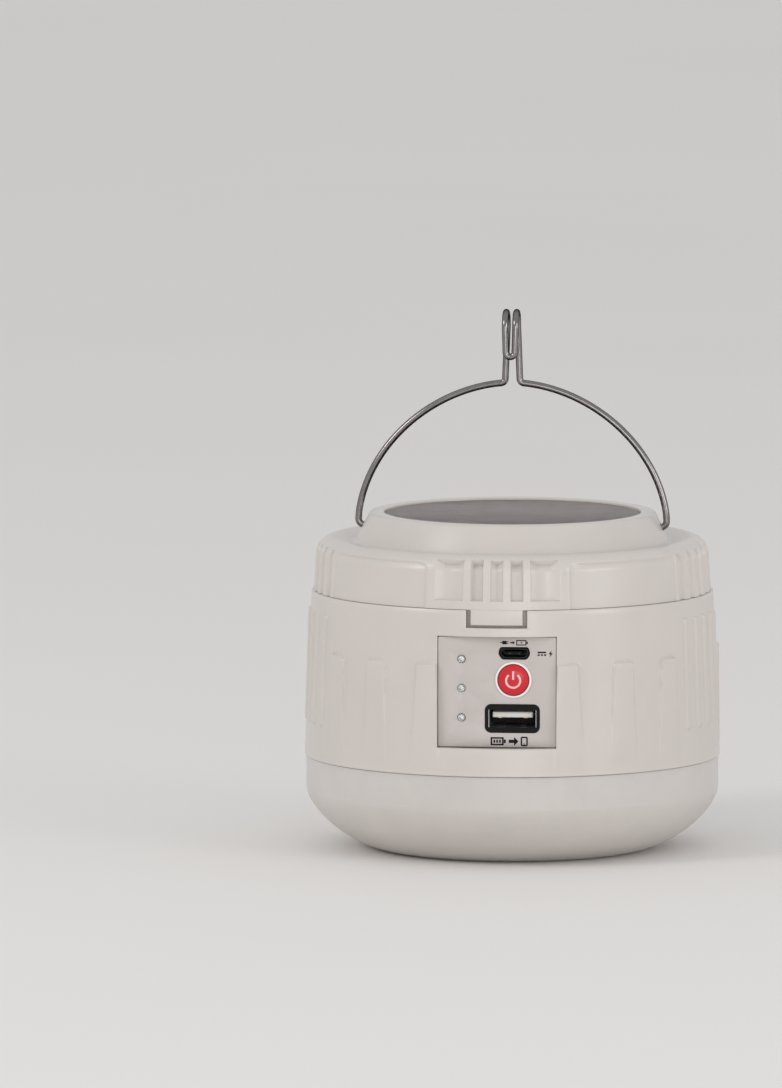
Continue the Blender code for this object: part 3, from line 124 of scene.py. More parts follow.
# ================================================================ sizes and colours
class CasingSizes(bpy.types.PropertyGroup):
    """Mouldings of the casing: diffuser, housing and top cover."""
    wall: length("Wall", "Thickness of the moulded shells", 2.2)
    draft: length("Draft", "Radius the housing loses towards its top", 1.9)
    diffuser_inset: length("Diffuser inset", "How far the diffuser stands back", 0.4)
    diffuser_wall: length("Diffuser wall", "Thickness of the diffuser", 2.0)
    diffuser_side: length("Diffuser side", "Straight part of the diffuser's side", 8.8)
    diffuser_flat: length("Diffuser flat", "Radius of the flat it stands on", 35.0)
    diffuser_round: FloatProperty(name="Diffuser round", default=1.55,
                                  description="Exponent of the rounded lower edge")
    edge: length("Edge", "Rounding of the casing's outer edges", 0.22)
    cover_height: length("Cover height", "From the upper seam to the shoulder", 13.1)
    cover_inset: length("Cover inset", "How far the cover stands back from the housing", 0.6)
    cover_draft: length("Cover draft", "Radius the cover loses towards its shoulder", 0.6)
    cover_edge: length("Cover edge", "Rounding between the cover's side and crest", 4.5)
    crest_rise: length("Crest rise", "Height of the crest over the collar's foot", 1.2)
    spigot_wall: length("Spigot wall", "Wall of the ring inside the housing's top", 1.6)
    spigot_depth: length("Spigot depth", "How far that ring reaches down", 5.3)
    collar_top: length("Collar top", "Radius of the collar at its rim", 38.5)
    collar_pivot: length("Collar at pivot", "Radius of the collar at the bail's axis", 40.5)
    collar_foot: length("Collar foot", "Radius of the collar at the shoulder", 42.4)
    rim_inner: length("Rim bore", "Radius of the bore that holds the solar lid", 34.7)
    fin_raise: length("Fin raise", "How far a fin's top stands proud", 1.0)
    grip_raise: length("Grip raise", "How far a grip rib's top stands proud", 0.7)
    pocket_depth: length("Pocket depth", "Depth of the cover's pockets", 1.3)
    flute_depth: length("Flute depth", "Depth of the flutes at the cover's sides", 0.8)
    pad_depth: length("Pad depth", "Depth of the wide pads between flutes and pockets", 0.4)
    notch_width: length("Notch width", "Width of the notch for the front tab", 16.4)
    notch_depth: length("Notch depth", "Depth of that notch", 4.8)
    tab_side_gap: length("Tab side gap", "Gap at each side of the front tab", 1.2)
    tab_foot_gap: length("Tab foot gap", "Gap under the front tab", 0.7)


class LidSizes(bpy.types.PropertyGroup):
    """The solar lid under the rim."""
    strips: IntProperty(name="Strips", description="Solar cell strips", default=8, min=2)
    strip_gap: length("Strip gap", "Gap between two strips", 0.35)
    bar_width: length("Bar width", "Width of a strip's silver bar", 0.7)
    bar_height: length("Bar height", "How far a silver bar stands on its strip", 0.06)


class BailSizes(bpy.types.PropertyGroup):
    """The wire bail and the hook on its top."""
    wire: length("Wire radius", "Radius of the bail's wire", 0.9)
    pivot_end: length("Pivot end", "X of the wire's end in the collar", 36.7)
    rise: length("Arch rise", "Top of the arch above the pivot", 38.9)
    arch_round: FloatProperty(name="Arch round", description="Exponent of the arch", default=1.88)
    neck: length("Neck", "Half the gap between the neck's wires", 2.0)
    neck_rise: length("Neck rise", "From the arch to the hook's bend", 15.4)
    crown: length("Crown radius", "Radius of the hook's bend", 4.0)
    crown_half: length("Crown half", "Half the gap between the wires over the bend", 1.4)
    tongue: length("Tongue", "Straight part of the hook's tongue", 6.5)
    tongue_half: length("Tongue half", "Half the width of the tongue's end", 1.2)
    bend: length("Bend", "Inner bends of the wire", 1.7)


class PanelSizes(bpy.types.PropertyGroup):
    """The control panel with its button, sockets and indicators."""
    width: length("Width", "Width of the panel's plate", 31.6)
    height: length("Height", "Height of the panel's plate", 29.6)
    gap: length("Gap", "Gap round the plate", 0.14)
    wall: length("Wall", "Thickness of the plate", 1.8)
    flange: length("Flange", "Overlap of the flange behind the opening", 1.2)
    flange_seat: length("Flange seat", "Flange's front behind the panel's face", 3.8)
    flange_wall: length("Flange wall", "Thickness of the flange", 1.4)
    button: length("Button radius", "Radius of the button's cap", 4.1)
    button_gap: length("Button gap", "Gap round the button's cap", 0.2)
    ring: length("Ring width", "Width of the raised ring round the button", 0.55)
    ring_proud: length("Ring proud", "How far that ring stands proud", 0.4)
    outlet_hole_width: length("Outlet hole width", "Width of the USB outlet's hole", 14.7)
    outlet_hole_height: length("Outlet hole height", "Height of that hole", 7.7)
    outlet_corner: length("Outlet corner", "Corner radius of that hole", 1.7)
    inlet_hole_width: length("Inlet hole width", "Width of the charge inlet's hole", 8.4)
    inlet_hole_height: length("Inlet hole height", "Height of that hole", 3.4)
    lens: length("Lens radius", "Radius of an indicator's lens", 0.95)
    edge: length("Edge", "Rounding of the plate's edges", 0.18)


class FinishColours(bpy.types.PropertyGroup):
    """Colours of the finishes."""
    casing: colour("Casing", "White moulded casing", (0.635, 0.590, 0.548))
    panel: colour("Panel", "Grey control panel", (0.555, 0.508, 0.482))
    diffuser: colour("Diffuser", "Frosted diffuser", (0.635, 0.600, 0.572))
    button: colour("Button", "Red button cap", (0.60, 0.016, 0.028))
    # Lighter than the casing: the ring's pale colour is partly a painted highlight round the
    # button.
    ring: colour("Ring", "Pale ring round the button", (0.90, 0.87, 0.85))
    mark: colour("Mark", "Pale mark on the button", (0.93, 0.66, 0.66))
    print: colour("Print", "Black print on the panel", (0.012, 0.010, 0.012))
    # Darkened steel: painted dark reflections along the bail's wire.
    steel: colour("Steel", "Wire of the bail", (0.27, 0.255, 0.25))
    silicon: colour("Silicon", "Solar cells", (0.105, 0.070, 0.062))
    floor: colour("Floor", "Floor of the stage", (0.86, 0.835, 0.81))


class StageSettings(bpy.types.PropertyGroup):
    """Camera, lights and floor."""
    azimuth: angle("Azimuth", "Camera to the right of straight ahead", 5.0)
    elevation: angle("Elevation", "Camera above the horizon", 6.1)
    distance: FloatProperty(name="Distance", description="Camera to the lantern", default=4.0,
                            unit='LENGTH')
    lens: FloatProperty(name="Lens", description="Focal length in millimetres", default=490.2)
    aim_height: length("Aim height", "Height of the middle of the view", 81.9)
    aim_side: length("Aim side", "Lantern's axis to the right of the view's middle", 32.8)
    floor_half: FloatProperty(name="Floor", description="Half the floor's side", default=6.0,
                              unit='LENGTH')
    world: FloatProperty(name="World", description="Strength of the surroundings", default=0.70)
    key: FloatProperty(name="Key", description="Key light", default=5.8, subtype='POWER')
    fill: FloatProperty(name="Fill", description="Fill light", default=4.4, subtype='POWER')
    low: FloatProperty(name="Low", description="Light near the floor", default=3.6,
                       subtype='POWER')


GROUPS = {"lantern_casing": CasingSizes, "lantern_lid": LidSizes, "lantern_bail": BailSizes,
          "lantern_panel": PanelSizes, "lantern_colours": FinishColours,
          "lantern_stage": StageSettings}


# ================================================================ shapes
class Shape:
    """Vertices and faces that grow into one mesh."""

    def __init__(self):
        self.points = []
        self.faces = []

    def add(self, points, faces):
        """Add points with faces that count from the first of them."""
        first = len(self.points)
        self.points.extend(tuple(point) for point in points)
        self.faces.extend(tuple(first + index for index in face) for face in faces)
        return first

    def loft(self, loops, closed=False, cap_first=True, cap_last=True):
        """Skin loops of equal length; closed joins the last loop to the first."""
        count = len(loops[0])
        points = [point for loop in loops for point in loop]
        faces = []
        pairs = len(loops) if closed else len(loops) - 1
        for row in range(pairs):
            low, high = row * count, (row + 1) % len(loops) * count
            for step in range(count):
                after = (step + 1) % count
                faces.append((low + step, low + after, high + after, high + step))
        if not closed and cap_first:
            faces.append(tuple(range(count))[::-1])
        if not closed and cap_last:
            last = (len(loops) - 1) * count
            faces.append(tuple(range(last, last + count)))
        self.add(points, faces)
        return self

    def turned(self, profile, at=(0, 0, 0), axis='Z', segments=96, closed=False):
        """Turn (radius, height) points about an axis; ends on the axis become caps."""
        loops = []
        for radius, height in profile:
            loop = []
            for step in range(segments):
                turn = 2 * math.pi * step / segments
                side = radius * math.cos(turn), radius * math.sin(turn)
                spot = {'Z': (side[0], side[1], height), 'Y': (side[0], height, side[1]),
                        'X': (height, side[0], side[1])}[axis]
                loop.append(tuple(base + move for base, move in zip(at, spot)))
            loops.append(loop)
        return self.loft(loops, closed)

    def mesh(self, name, sharp):
        """The finished mesh, faces outwards and smooth but for its sharp edges."""
        made = bpy.data.meshes.new(name)
        made.from_pydata(self.points, [], self.faces)
        work = bmesh.new()
        work.from_mesh(made)
        bmesh.ops.recalc_face_normals(work, faces=work.faces)
        work.to_mesh(made)
        work.free()
        made.shade_smooth()
        made.set_sharp_from_angle(angle=math.radians(sharp))
        return made


def ease(value, low, high):
    """A smooth step from 0 at low to 1 at high."""
    share = np.clip((value - low) / (high - low), 0.0, 1.0)
    return share * share * (3 - 2 * share)


def box_depth(across, along, half_across, half_along, corner):
    """Distance inside the edge of a rectangle with rounded corners."""
    side = np.abs(across) - (half_across - corner)
    end = np.abs(along) - (half_along - corner)
    outside = np.hypot(np.maximum(side, 0.0), np.maximum(end, 0.0))
    return corner - outside - np.minimum(np.maximum(side, end), 0.0)


def edge_drop(distance, radius):
    """How far a rounded edge falls away at a distance from its line."""
    reach = np.clip(radius - distance, 0.0, radius)
    return radius - np.sqrt(radius ** 2 - reach ** 2)


def stations(low, high, coarse, exact=(), fine=()):
    """Sorted places from low to high: exact ones, then fine ones, then coarse ones."""
    steps = max(1, round((high - low) / coarse))
    kept = []
    for group, share in ((exact, 0.0), (fine, 0.12), ([low, high], 0.0),
                         (np.linspace(low, high, steps + 1), 0.4)):
        for place in group:
            near = min((abs(place - other) for other in kept), default=coarse)
            if low <= place <= high and near > max(share * coarse, 1e-7):
                kept.append(float(place))
    return sorted(kept)


def around_edges(edges, offsets):
    """Every edge with every offset to both sides of it."""
    return [edge + side * offset for edge in edges for offset in offsets for side in (-1, 1)]


def rounded_rectangle(width, height, corner, at=(0.0, 0.0), steps=6):
    """Points (x, z) round a rectangle with rounded corners."""
    points = []
    for quarter in range(4):
        sign_x, sign_z = ((1, 1), (-1, 1), (-1, -1), (1, -1))[quarter]
        for step in range(steps + 1):
            turn = math.pi / 2 * (quarter + step / steps)
            points.append((at[0] + sign_x * (width / 2 - corner) + corner * math.cos(turn),
                           at[1] + sign_z * (height / 2 - corner) + corner * math.sin(turn)))
    return points


def circle(radius, at=(0.0, 0.0), segments=48):
    return [(at[0] + radius * math.cos(2 * math.pi * step / segments),
             at[1] + radius * math.sin(2 * math.pi * step / segments))
            for step in range(segments)]


def at_depth(loop, y):
    """Points (x, z) stood up at a depth y."""
    return [(x, y, z) for x, z in loop]


def filleted(corners):
    """A path of (a, b, radius, steps) corners with each corner rounded."""
    path = []
    for index, (a, b, radius, steps) in enumerate(corners):
        corner = Vector((a, b))
        if not radius or index in (0, len(corners) - 1):
            path.append((a, b))
            continue
        before = Vector(corners[index - 1][:2]) - corner
        after = Vector(corners[index + 1][:2]) - corner
        half = before.angle(after) / 2
        reach = min(radius / math.tan(half), 0.49 * before.length, 0.49 * after.length)
        radius = reach * math.tan(half)
        centre = corner + (before.normalized() + after.normalized()).normalized() \
            * radius / math.sin(half)
        start = corner + before.normalized() * reach - centre
        stop = corner + after.normalized() * reach - centre
        sweep = start.angle_signed(stop)
        for step in range(steps + 1):
            turn = -sweep * step / steps
            path.append((centre.x + start.x * math.cos(turn) - start.y * math.sin(turn),
                         centre.y + start.x * math.sin(turn) + start.y * math.cos(turn)))
    return path


def piece(name, shape, finish, slot, *nodes, body="lantern", sharp=32.0):
    """Stand a shape in the scene as a piece that rides on a body."""
    mesh = shape.mesh(name, sharp)
    made = bpy.data.objects.new(name, mesh)
    bpy.context.scene.collection.objects.link(made)
    mesh.materials.append(FINISHES[finish])
    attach(made, body)
    if nodes:
        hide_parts(*nodes)


def refinish(prefix, finish):
    """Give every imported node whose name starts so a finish; its shape stays."""
    for name, node in frame["nodes"].items():
        if name.startswith(prefix):
            node.data.materials.clear()
            node.data.materials.append(FINISHES[finish])


# ================================================================ casing shapes
POST_RADIUS, POST_BORE = 4.0 * MM, 1.6 * MM
POST_HEIGHT = 30.0 * MM         # above the floor
POST_SINK = 0.4 * MM            # post into the floor
BOSS_RADIUS, BOSS_BORE = 3.5 * MM, 1.5 * MM
COLUMN_STEP = 2.0               # degrees between plain columns round the casing
FLAT_TURN = (24.0, 34.0)        # columns run at constant X up to the first angle
GRIP_ANGLES = [62.5 + 6.25 * step for step in range(5)]
GRIP_HALF = 1.1
GRIP_SPAN = (9.5 * MM, 39.9 * MM)       # above the lower seam
FIN_ANGLES = [20.3, 36.9, 53.5, 95.0, 112.0, 129.0, 146.0, 163.0]
FIN_HALF = (4.6, 3.4)                   # half width in degrees at its foot and top
FIN_SPAN = (3.0 * MM, 30.3 * MM)
POCKET_EDGES = [(-18.5, -9.8), (-7.6, -4.0), (-1.8, 1.8), (4.0, 7.6), (9.8, 18.5)]
POCKET_SILL = 2.3 * MM
POCKET_WRAP, FLUTE_WRAP, PAD_WRAP = 50.0, 44.0, 36.0     # degrees over the cover's edge
FLUTE_EDGES = [61.45 + 6.3 * step for step in range(5)]
FLUTE_WIDTH = 3.6
PAD_EDGES = (21.2, 60.3)
REAR_PAD_EDGES = (93.0, 158.8)
HOLE_PATCH = 2.9                # half the patch round a pivot hole, degrees
HOLE_PATCH_RISE = 2.0 * MM
HOLE_DEPTH = 4.8 * MM


def housing_top_radius(sizes):
    return DIFFUSER_RADIUS + sizes.diffuser_inset - sizes.draft


def housing_radius(sizes, height):
    """Outer radius of the plain housing wall at a height."""
    share = (height - SEAM_LOW) / (SEAM_HIGH - SEAM_LOW)
    return DIFFUSER_RADIUS + sizes.diffuser_inset - sizes.draft * share


def all_fins():
    return [side * turn for turn in FIN_ANGLES for side in (-1, 1)] + [180.0]


def housing_relief(sizes, turn, z):
    """How far fins and grip ribs stand off the wall at angles (degrees) and heights."""
    per_degree = housing_radius(sizes, z) * math.pi / 180
    raised = np.zeros_like(z)

    def stand(angles, span, halves, corner, proud, foot_share, slope):
        low, high = SEAM_LOW + span[0], SEAM_LOW + span[1]
        share = np.clip((z - low) / (high - low), 0.0, 1.0)
        half = (halves[0] + (halves[1] - halves[0]) * share) * per_degree
        top = proud * (foot_share + (1 - foot_share) * share)
        for middle in angles:
            away = (turn - middle + 180.0) % 360.0 - 180.0
            depth = box_depth(away * per_degree, z - (high + low) / 2, half, (high - low) / 2,
                              corner)
            np.maximum(raised, top * ease(depth, 0.0, slope), out=raised)

    grips = [side * grip for grip in GRIP_ANGLES for side in (-1, 1)]
    stand(all_fins(), FIN_SPAN, FIN_HALF, 1.1 * MM, sizes.fin_raise, 0.12, 0.65 * MM)
    stand(grips, GRIP_SPAN, (GRIP_HALF, GRIP_HALF), 0.6 * MM, sizes.grip_raise, 0.55, 0.5 * MM)
    return raised


def bent_columns(radius, side, turn):
    """Angles of columns that keep their X near the front and their angle elsewhere."""
    flat = 1.0 - ease(np.abs(turn), *FLAT_TURN)
    straight = np.arcsin(np.clip(side / radius, -1.0, 1.0))
    return np.where(np.abs(turn) > FLAT_TURN[1], np.radians(turn),
                    flat * straight + (1 - flat) * np.radians(turn))


def housing_shape(sizes, panel):
    """Housing shell with fins, ribs, the panel's opening and the tab's notch."""
    reference = housing_top_radius(sizes)
    opening_half = panel.width / 2 + panel.gap
    opening_z = (PANEL_AT.z - panel.height / 2 - panel.gap,
                 PANEL_AT.z + panel.height / 2 + panel.gap)
    notch_half = sizes.notch_width / 2
    notch_low = SEAM_HIGH - sizes.notch_depth
    low, high = SEAM_LOW + SEAM_GAP, SEAM_HIGH - SEAM_GAP
    edge = sizes.edge
    offsets = [edge * share for share in (0.1, 0.3, 0.6, 1.0)]

    def column_of(x):
        return math.degrees(math.asin(x / reference))

    exact = [side * column_of(half) for half in (opening_half, notch_half) for side in (-1, 1)]
    fine = [side * column_of(half + move) for half in (opening_half, notch_half)
            for move in offsets for side in (-1, 1)]
    for fin in all_fins():
        for side in (-1, 1):
            fine += [fin + side * (FIN_HALF[1] - 0.8 + 0.26 * step) for step in range(9)]
    for grip in GRIP_ANGLES:
        for middle in (-grip, grip):
            fine += around_edges([middle], [0.0, 0.35, 0.55, 0.75, 0.95, 1.15])
    turns = stations(-180.0, 180.0, COLUMN_STEP, exact, [turn for turn in fine if abs(turn) < 180])
    turns = turns[:-1]
    spans = [SEAM_LOW + FIN_SPAN[1], SEAM_LOW + GRIP_SPAN[0], SEAM_LOW + GRIP_SPAN[1]]
    edges = ((low, 1), (high, -1), (opening_z[0], -1), (opening_z[1], 1), (notch_low, -1))
    fine_rows = [place + side * move for place, side in edges for move in offsets]
    for span in spans:
        fine_rows += around_edges([span], [step * 0.16 * MM for step in range(8)])
    rows = stations(low, high, 1.5 * MM, [*opening_z, notch_low], fine_rows)

    turn, z = np.meshgrid(np.array(turns), np.array(rows))
    side = reference * np.sin(np.radians(turn))
    base = housing_radius(sizes, z)
    near_turn = np.degrees(bent_columns(base, side, turn))
    stand = housing_relief(sizes, near_turn, z)
    front = np.abs(turn) < 60.0
    beyond_x = np.abs(side) - opening_half
    beyond_z = np.maximum(opening_z[0] - z, z - opening_z[1])
    opening = np.hypot(np.maximum(beyond_x, 0.0), np.maximum(beyond_z, 0.0))
    notch = np.hypot(np.maximum(np.abs(side) - notch_half, 0.0), np.maximum(notch_low - z, 0.0))
    stand -= np.where(front, edge_drop(opening, edge), 0.0)
    stand -= np.where(front, edge_drop(notch, edge), 0.0)
    stand -= edge_drop(z - low, edge) + edge_drop(high - z, edge)
    radius = base + stand
    bent = bent_columns(radius, side, turn)
    outer = np.stack([radius * np.sin(bent), -radius * np.cos(bent), z], axis=-1)

    def inner_row(height, wall_radius):
        bend = bent_columns(np.full(len(turns), wall_radius), side[0], turn[0])
        return np.stack([wall_radius * np.sin(bend), -wall_radius * np.cos(bend),
                         np.full(len(turns), height)], axis=-1)

    foot, top = housing_radius(sizes, low) - sizes.wall, reference - sizes.wall
    heights = [FLOOR_HIGH, *opening_z, notch_low, high]
    inner = [inner_row(height, foot + (top - foot) * (height - FLOOR_HIGH) / (high - FLOOR_HIGH))
             for height in heights]
    cup = [inner_row(low, foot), inner_row(FLOOR_LOW, foot)]
    return closed_housing(outer, inner, cup, turns, rows, exact, opening_z, notch_low)


def closed_housing(outer, inner, cup, turns, rows, exact, opening_z, notch_low):
    """Join the outer wall, the inner wall and the recess under the floor into one body."""
    count = len(turns)
    columns = [turns.index(turn) for turn in sorted(exact)]
    opening_cols, notch_cols = (columns[0], columns[3]), (columns[1], columns[2])
    opening_rows = rows.index(opening_z[0]), rows.index(opening_z[1])
    notch_row = rows.index(notch_low)
    shape = Shape()
    outer_at = shape.add(outer.reshape(-1, 3), [])
    inner_at = shape.add(np.concatenate(inner), [])
    cup_at = shape.add(np.concatenate(cup), [])

    def quad(low, high, column):
        after = (column + 1) % count
        shape.faces.append((low + column, low + after, high + after, high + column))

    def wall(first, row_count, start, stop, notch_start):
        for row in range(row_count - 1):
            for column in range(count):
                in_opening = opening_cols[0] <= column < opening_cols[1] and start <= row < stop
                in_notch = notch_cols[0] <= column < notch_cols[1] and row >= notch_start
                if not in_opening and not in_notch:
                    quad(first + row * count, first + (row + 1) * count, column)

    wall(outer_at, len(rows), *opening_rows, notch_row)
    wall(inner_at, len(inner), 1, 2, 3)         # rows of the inner wall, in heights' order
    wall(cup_at, 2, 2, 2, 2)
    shape.faces.append(tuple(inner_at + column for column in range(count)))
    shape.faces.append(tuple(cup_at + count + column for column in range(count)))

    def bridge(low_row, high_row, start=0, stop=count):
        for column in range(start, stop):
            quad(low_row, high_row, column)

    top_outer, top_inner = outer_at + (len(rows) - 1) * count, inner_at + 4 * count
    bridge(outer_at, cup_at)
    bridge(top_outer, top_inner, 0, notch_cols[0])
    bridge(top_outer, top_inner, notch_cols[1], count)
    for row, inner_row in zip(opening_rows, (1, 2)):
        bridge(outer_at + row * count, inner_at + inner_row * count, *opening_cols)
    bridge(outer_at + notch_row * count, inner_at + 3 * count, *notch_cols)

    def jamb(column, row_start, row_stop, inner_rows):
        ring = [outer_at + row * count + column for row in range(row_start, row_stop + 1)]
        ring += [inner_at + row * count + column for row in inner_rows]
        shape.faces.append(tuple(ring))

    for column in opening_cols:
        jamb(column, *opening_rows, (2, 1))
    for column in notch_cols:
        jamb(column, notch_row, len(rows) - 1, (4, 3))
    return shape


def cover_outline(sizes):
    """Section of the cover as (radius, height) with the index span of its moulded face."""
    foot = SEAM_HIGH + SEAM_GAP
    shoulder = SEAM_HIGH + sizes.cover_height
    foot_radius = housing_top_radius(sizes) - sizes.cover_inset
    top_radius = foot_radius - sizes.cover_draft
    spigot = housing_top_radius(sizes) - sizes.wall - GAP
    spigot_inner = spigot - sizes.spigot_wall
    spigot_foot = SEAM_HIGH - sizes.spigot_depth
    roof = shoulder - sizes.wall
    seat = SEAL_LOW.z - GAP
    seat_under = seat - 2.0 * MM
    lead_hole = 4.0 * MM
    collar_inner = sizes.collar_pivot - sizes.wall
    crest_radius = top_radius - sizes.cover_edge
    crest = shoulder + sizes.crest_rise
    edge_low = crest - sizes.cover_edge
    patch_foot = PIVOT_Z - HOLE_PATCH_RISE
    flare = (sizes.collar_foot - sizes.collar_pivot) * HOLE_PATCH_RISE / (PIVOT_Z - shoulder)
    upper = filleted([
        (lead_hole, seat, 0, 0), (sizes.rim_inner, seat, 0, 0),
        (sizes.rim_inner, RIM, 0.3 * MM, 4), (sizes.collar_top, RIM, 1.3 * MM, 8),
        (sizes.collar_pivot, PIVOT_Z, 12.0 * MM, 6),
        (sizes.collar_pivot + flare, patch_foot, 0, 0), (sizes.collar_foot, shoulder, 0.4 * MM, 5),
        (sizes.collar_foot + 1.0 * MM, shoulder, 0.5 * MM, 3),
        (crest_radius - 0.8 * MM, crest, 2.2 * MM, 6)])
    start = len(upper)
    for step in range(25):
        turn = math.pi / 2 * (1 - step / 24)
        upper.append((crest_radius + sizes.cover_edge * math.cos(turn),
                      edge_low + sizes.cover_edge * math.sin(turn)))
    sill = SEAM_HIGH + POCKET_SILL
    fine = around_edges([sill], [step * 0.12 * MM for step in range(5)])
    fine += [foot + step * 0.1 * MM for step in range(4)]
    side = [(top_radius + (foot_radius - top_radius) * (edge_low - z) / (edge_low - foot), z)
            for z in stations(foot, edge_low, 1.2 * MM, [], fine)[::-1]]
    lower = filleted([
        (foot_radius, foot, 0, 0), (spigot, foot, 0, 0), (spigot, spigot_foot, 0.4 * MM, 3),
        (spigot_inner, spigot_foot, 0.4 * MM, 3), (spigot_inner, roof, 0, 0),
        (collar_inner, roof, 0, 0), (collar_inner, seat_under, 0, 0),
        (lead_hole, seat_under, 0, 0)])
    path = upper + side[1:] + lower[1:]
    return path, (start, len(upper) + len(side) - 1), (crest_radius, edge_low)


def cover_relief(sizes, turn, climb, radius):
    """How far pockets, flutes and pads are sunk; climb is the way up the cover's face."""
    per_degree = radius * math.pi / 180
    edge_low = SEAM_HIGH + sizes.cover_height + sizes.crest_rise - sizes.cover_edge
    foot = SEAM_HIGH - 5 * MM
    sunk = np.zeros_like(climb)

    def sink(centre, half, low, wrap, corner, depth, slope, outer_slope=(0.0, 0.0)):
        high = edge_low + math.radians(wrap) * sizes.cover_edge
        away = (turn - centre + 180.0) % 360.0 - 180.0
        inside = box_depth(away * per_degree, climb - (low + high) / 2, half * per_degree,
                           (high - low) / 2, corner)
        share = ease(inside, 0.0, slope)
        for side, width in zip((-1, 1), outer_slope):
            if width:
                share = np.minimum(share, ease((half - side * away) * per_degree, 0.0, width))
        deeper = 1.0 + 0.5 * ease(climb, edge_low, high)
        np.maximum(sunk, depth * deeper * share, out=sunk)

    for facing in (0.0, 180.0):
        for number, (start, stop) in enumerate(POCKET_EDGES):
            outer = {0: (1.5 * MM, 0.0), 4: (0.0, 1.5 * MM)}.get(number, (0.0, 0.0))
            sink(facing + (start + stop) / 2, (stop - start) / 2, SEAM_HIGH + POCKET_SILL,
                 POCKET_WRAP, 0.35 * MM, sizes.pocket_depth, 0.32 * MM, outer)
    for side in (-1, 1):
        for start in FLUTE_EDGES:
            sink(side * (start + FLUTE_WIDTH / 2), FLUTE_WIDTH / 2, foot, FLUTE_WRAP,
                 1.2 * MM, sizes.flute_depth, 0.75 * MM)
        for start, stop in (PAD_EDGES, REAR_PAD_EDGES):
            sink(side * (start + stop) / 2, (stop - start) / 2, foot, PAD_WRAP,
                 1.8 * MM, sizes.pad_depth, 0.5 * MM)
    return sunk


def cover_columns():
    """Angles of the cover's columns, close together at every moulded edge."""
    fine = []
    for facing in (0.0, 180.0):
        for edges in POCKET_EDGES:
            for edge, inward in zip(edges, (1, -1)):
                fine += [facing + edge + inward * step * 0.08 for step in range(-1, 6)]
    for side in (-1, 1):
        for start in FLUTE_EDGES:
            fine += [side * (start + FLUTE_WIDTH * step / 14) for step in range(-1, 16)]
        for edges in (PAD_EDGES, REAR_PAD_EDGES):
            for edge, inward in zip(edges, (1, -1)):
                fine += [side * (edge + inward * step * 0.1) for step in range(-1, 6)]
    exact = [side * 90.0 + move for side in (-1, 1) for move in (-HOLE_PATCH, HOLE_PATCH)]
    fine = [(turn + 180.0) % 360.0 - 180.0 for turn in fine]
    return stations(-180.0, 180.0, COLUMN_STEP, exact, fine)[:-1], exact


def cover_shape(sizes, wire):
    """Top cover: seat, rim, collar with both pivot holes, shoulder, side and spigot."""
    path, (start, stop), (centre_radius, centre_z) = cover_outline(sizes)
    turns, patch_edges = cover_columns()
    turn, radius = np.meshgrid(turns, [point[0] for point in path])
    z = np.meshgrid(turns, [point[1] for point in path])[1]
    face = np.zeros_like(z)
    face[start:stop] = 1.0
    above = np.maximum(z - centre_z, 0.0)
    lift = np.arctan2(above, np.maximum(radius - centre_radius, 1e-9))
    climb = np.where(above > 0.0, centre_z + lift * sizes.cover_edge, z)
    sunk = face * cover_relief(sizes, turn, climb, np.maximum(radius, sizes.collar_foot))
    radius = radius - sunk * np.cos(lift)
    z = z - sunk * np.sin(lift)
    bend = np.radians(turn)
    points = np.stack([radius * np.sin(bend), -radius * np.cos(bend), z], axis=-1)
    shape = Shape()
    shape.add(points.reshape(-1, 3), [])
    count = len(turns)
    slope = [i for i in range(start) if path[i][0] > sizes.collar_top - 0.1 * MM]
    low_row = min(slope, key=lambda i: abs(path[i][1] - PIVOT_Z + HOLE_PATCH_RISE))
    high_row = min(slope, key=lambda i: abs(path[i][1] - PIVOT_Z - HOLE_PATCH_RISE))
    rows = sorted((low_row, high_row))
    patches = [(turns.index(patch_edges[0]), turns.index(patch_edges[1])),
               (turns.index(patch_edges[2]), turns.index(patch_edges[3]))]
    for row in range(len(path)):
        after_row = (row + 1) % len(path)
        for column in range(count):
            in_patch = any(left <= column < right for left, right in patches)
            if in_patch and rows[0] <= row < rows[1]:
                continue
            after = (column + 1) % count
            shape.faces.append((row * count + column, row * count + after,
                                after_row * count + after, after_row * count + column))
    for side_sign, (left, right) in zip((-1, 1), patches):
        add_pivot_hole(shape, path, rows, left, right, count, side_sign, wire)
    return shape


def add_pivot_hole(shape, path, rows, left, right, count, side, wire):
    """Fill a patch of the collar with a round hole for the bail's end."""
    rim = [rows[0] * count + column for column in range(left, right)]
    rim += [row * count + right for row in range(rows[0], rows[1])]
    rim += [rows[1] * count + column for column in range(right, left, -1)]
    rim += [row * count + left for row in range(rows[1], rows[0], -1)]
    slope = sorted((path[row][1], path[row][0]) for row in range(rows[0], rows[1] + 1))
    heights = [height for height, _ in slope]
    radii = [radius for _, radius in slope]
    hole = wire + GAP
    rings = []
    for reach, depth in ((1.5, 0.0), (1.25, 0.0), (1.08, 0.05 * MM), (1.0, 0.22 * MM),
                         (1.0, HOLE_DEPTH)):
        ring = []
        for index in rim:
            _, y, z = shape.points[index]
            turn = math.atan2(z - PIVOT_Z, y)
            y, z = hole * reach * math.cos(turn), PIVOT_Z + hole * reach * math.sin(turn)
            surface = np.interp(z, heights, radii)
            ring.append((side * (math.sqrt(surface ** 2 - y ** 2) - depth), y, z))
        rings.append(shape.add(ring, []))
    steps = len(rim)
    for step in range(steps):
        after = (step + 1) % steps
        shape.faces.append((rim[step], rim[after], rings[0] + after, rings[0] + step))
        for inner, outer in zip(rings, rings[1:]):
            shape.faces.append((inner + step, inner + after, outer + after, outer + step))
    shape.faces.append(tuple(range(rings[-1], rings[-1] + steps)))


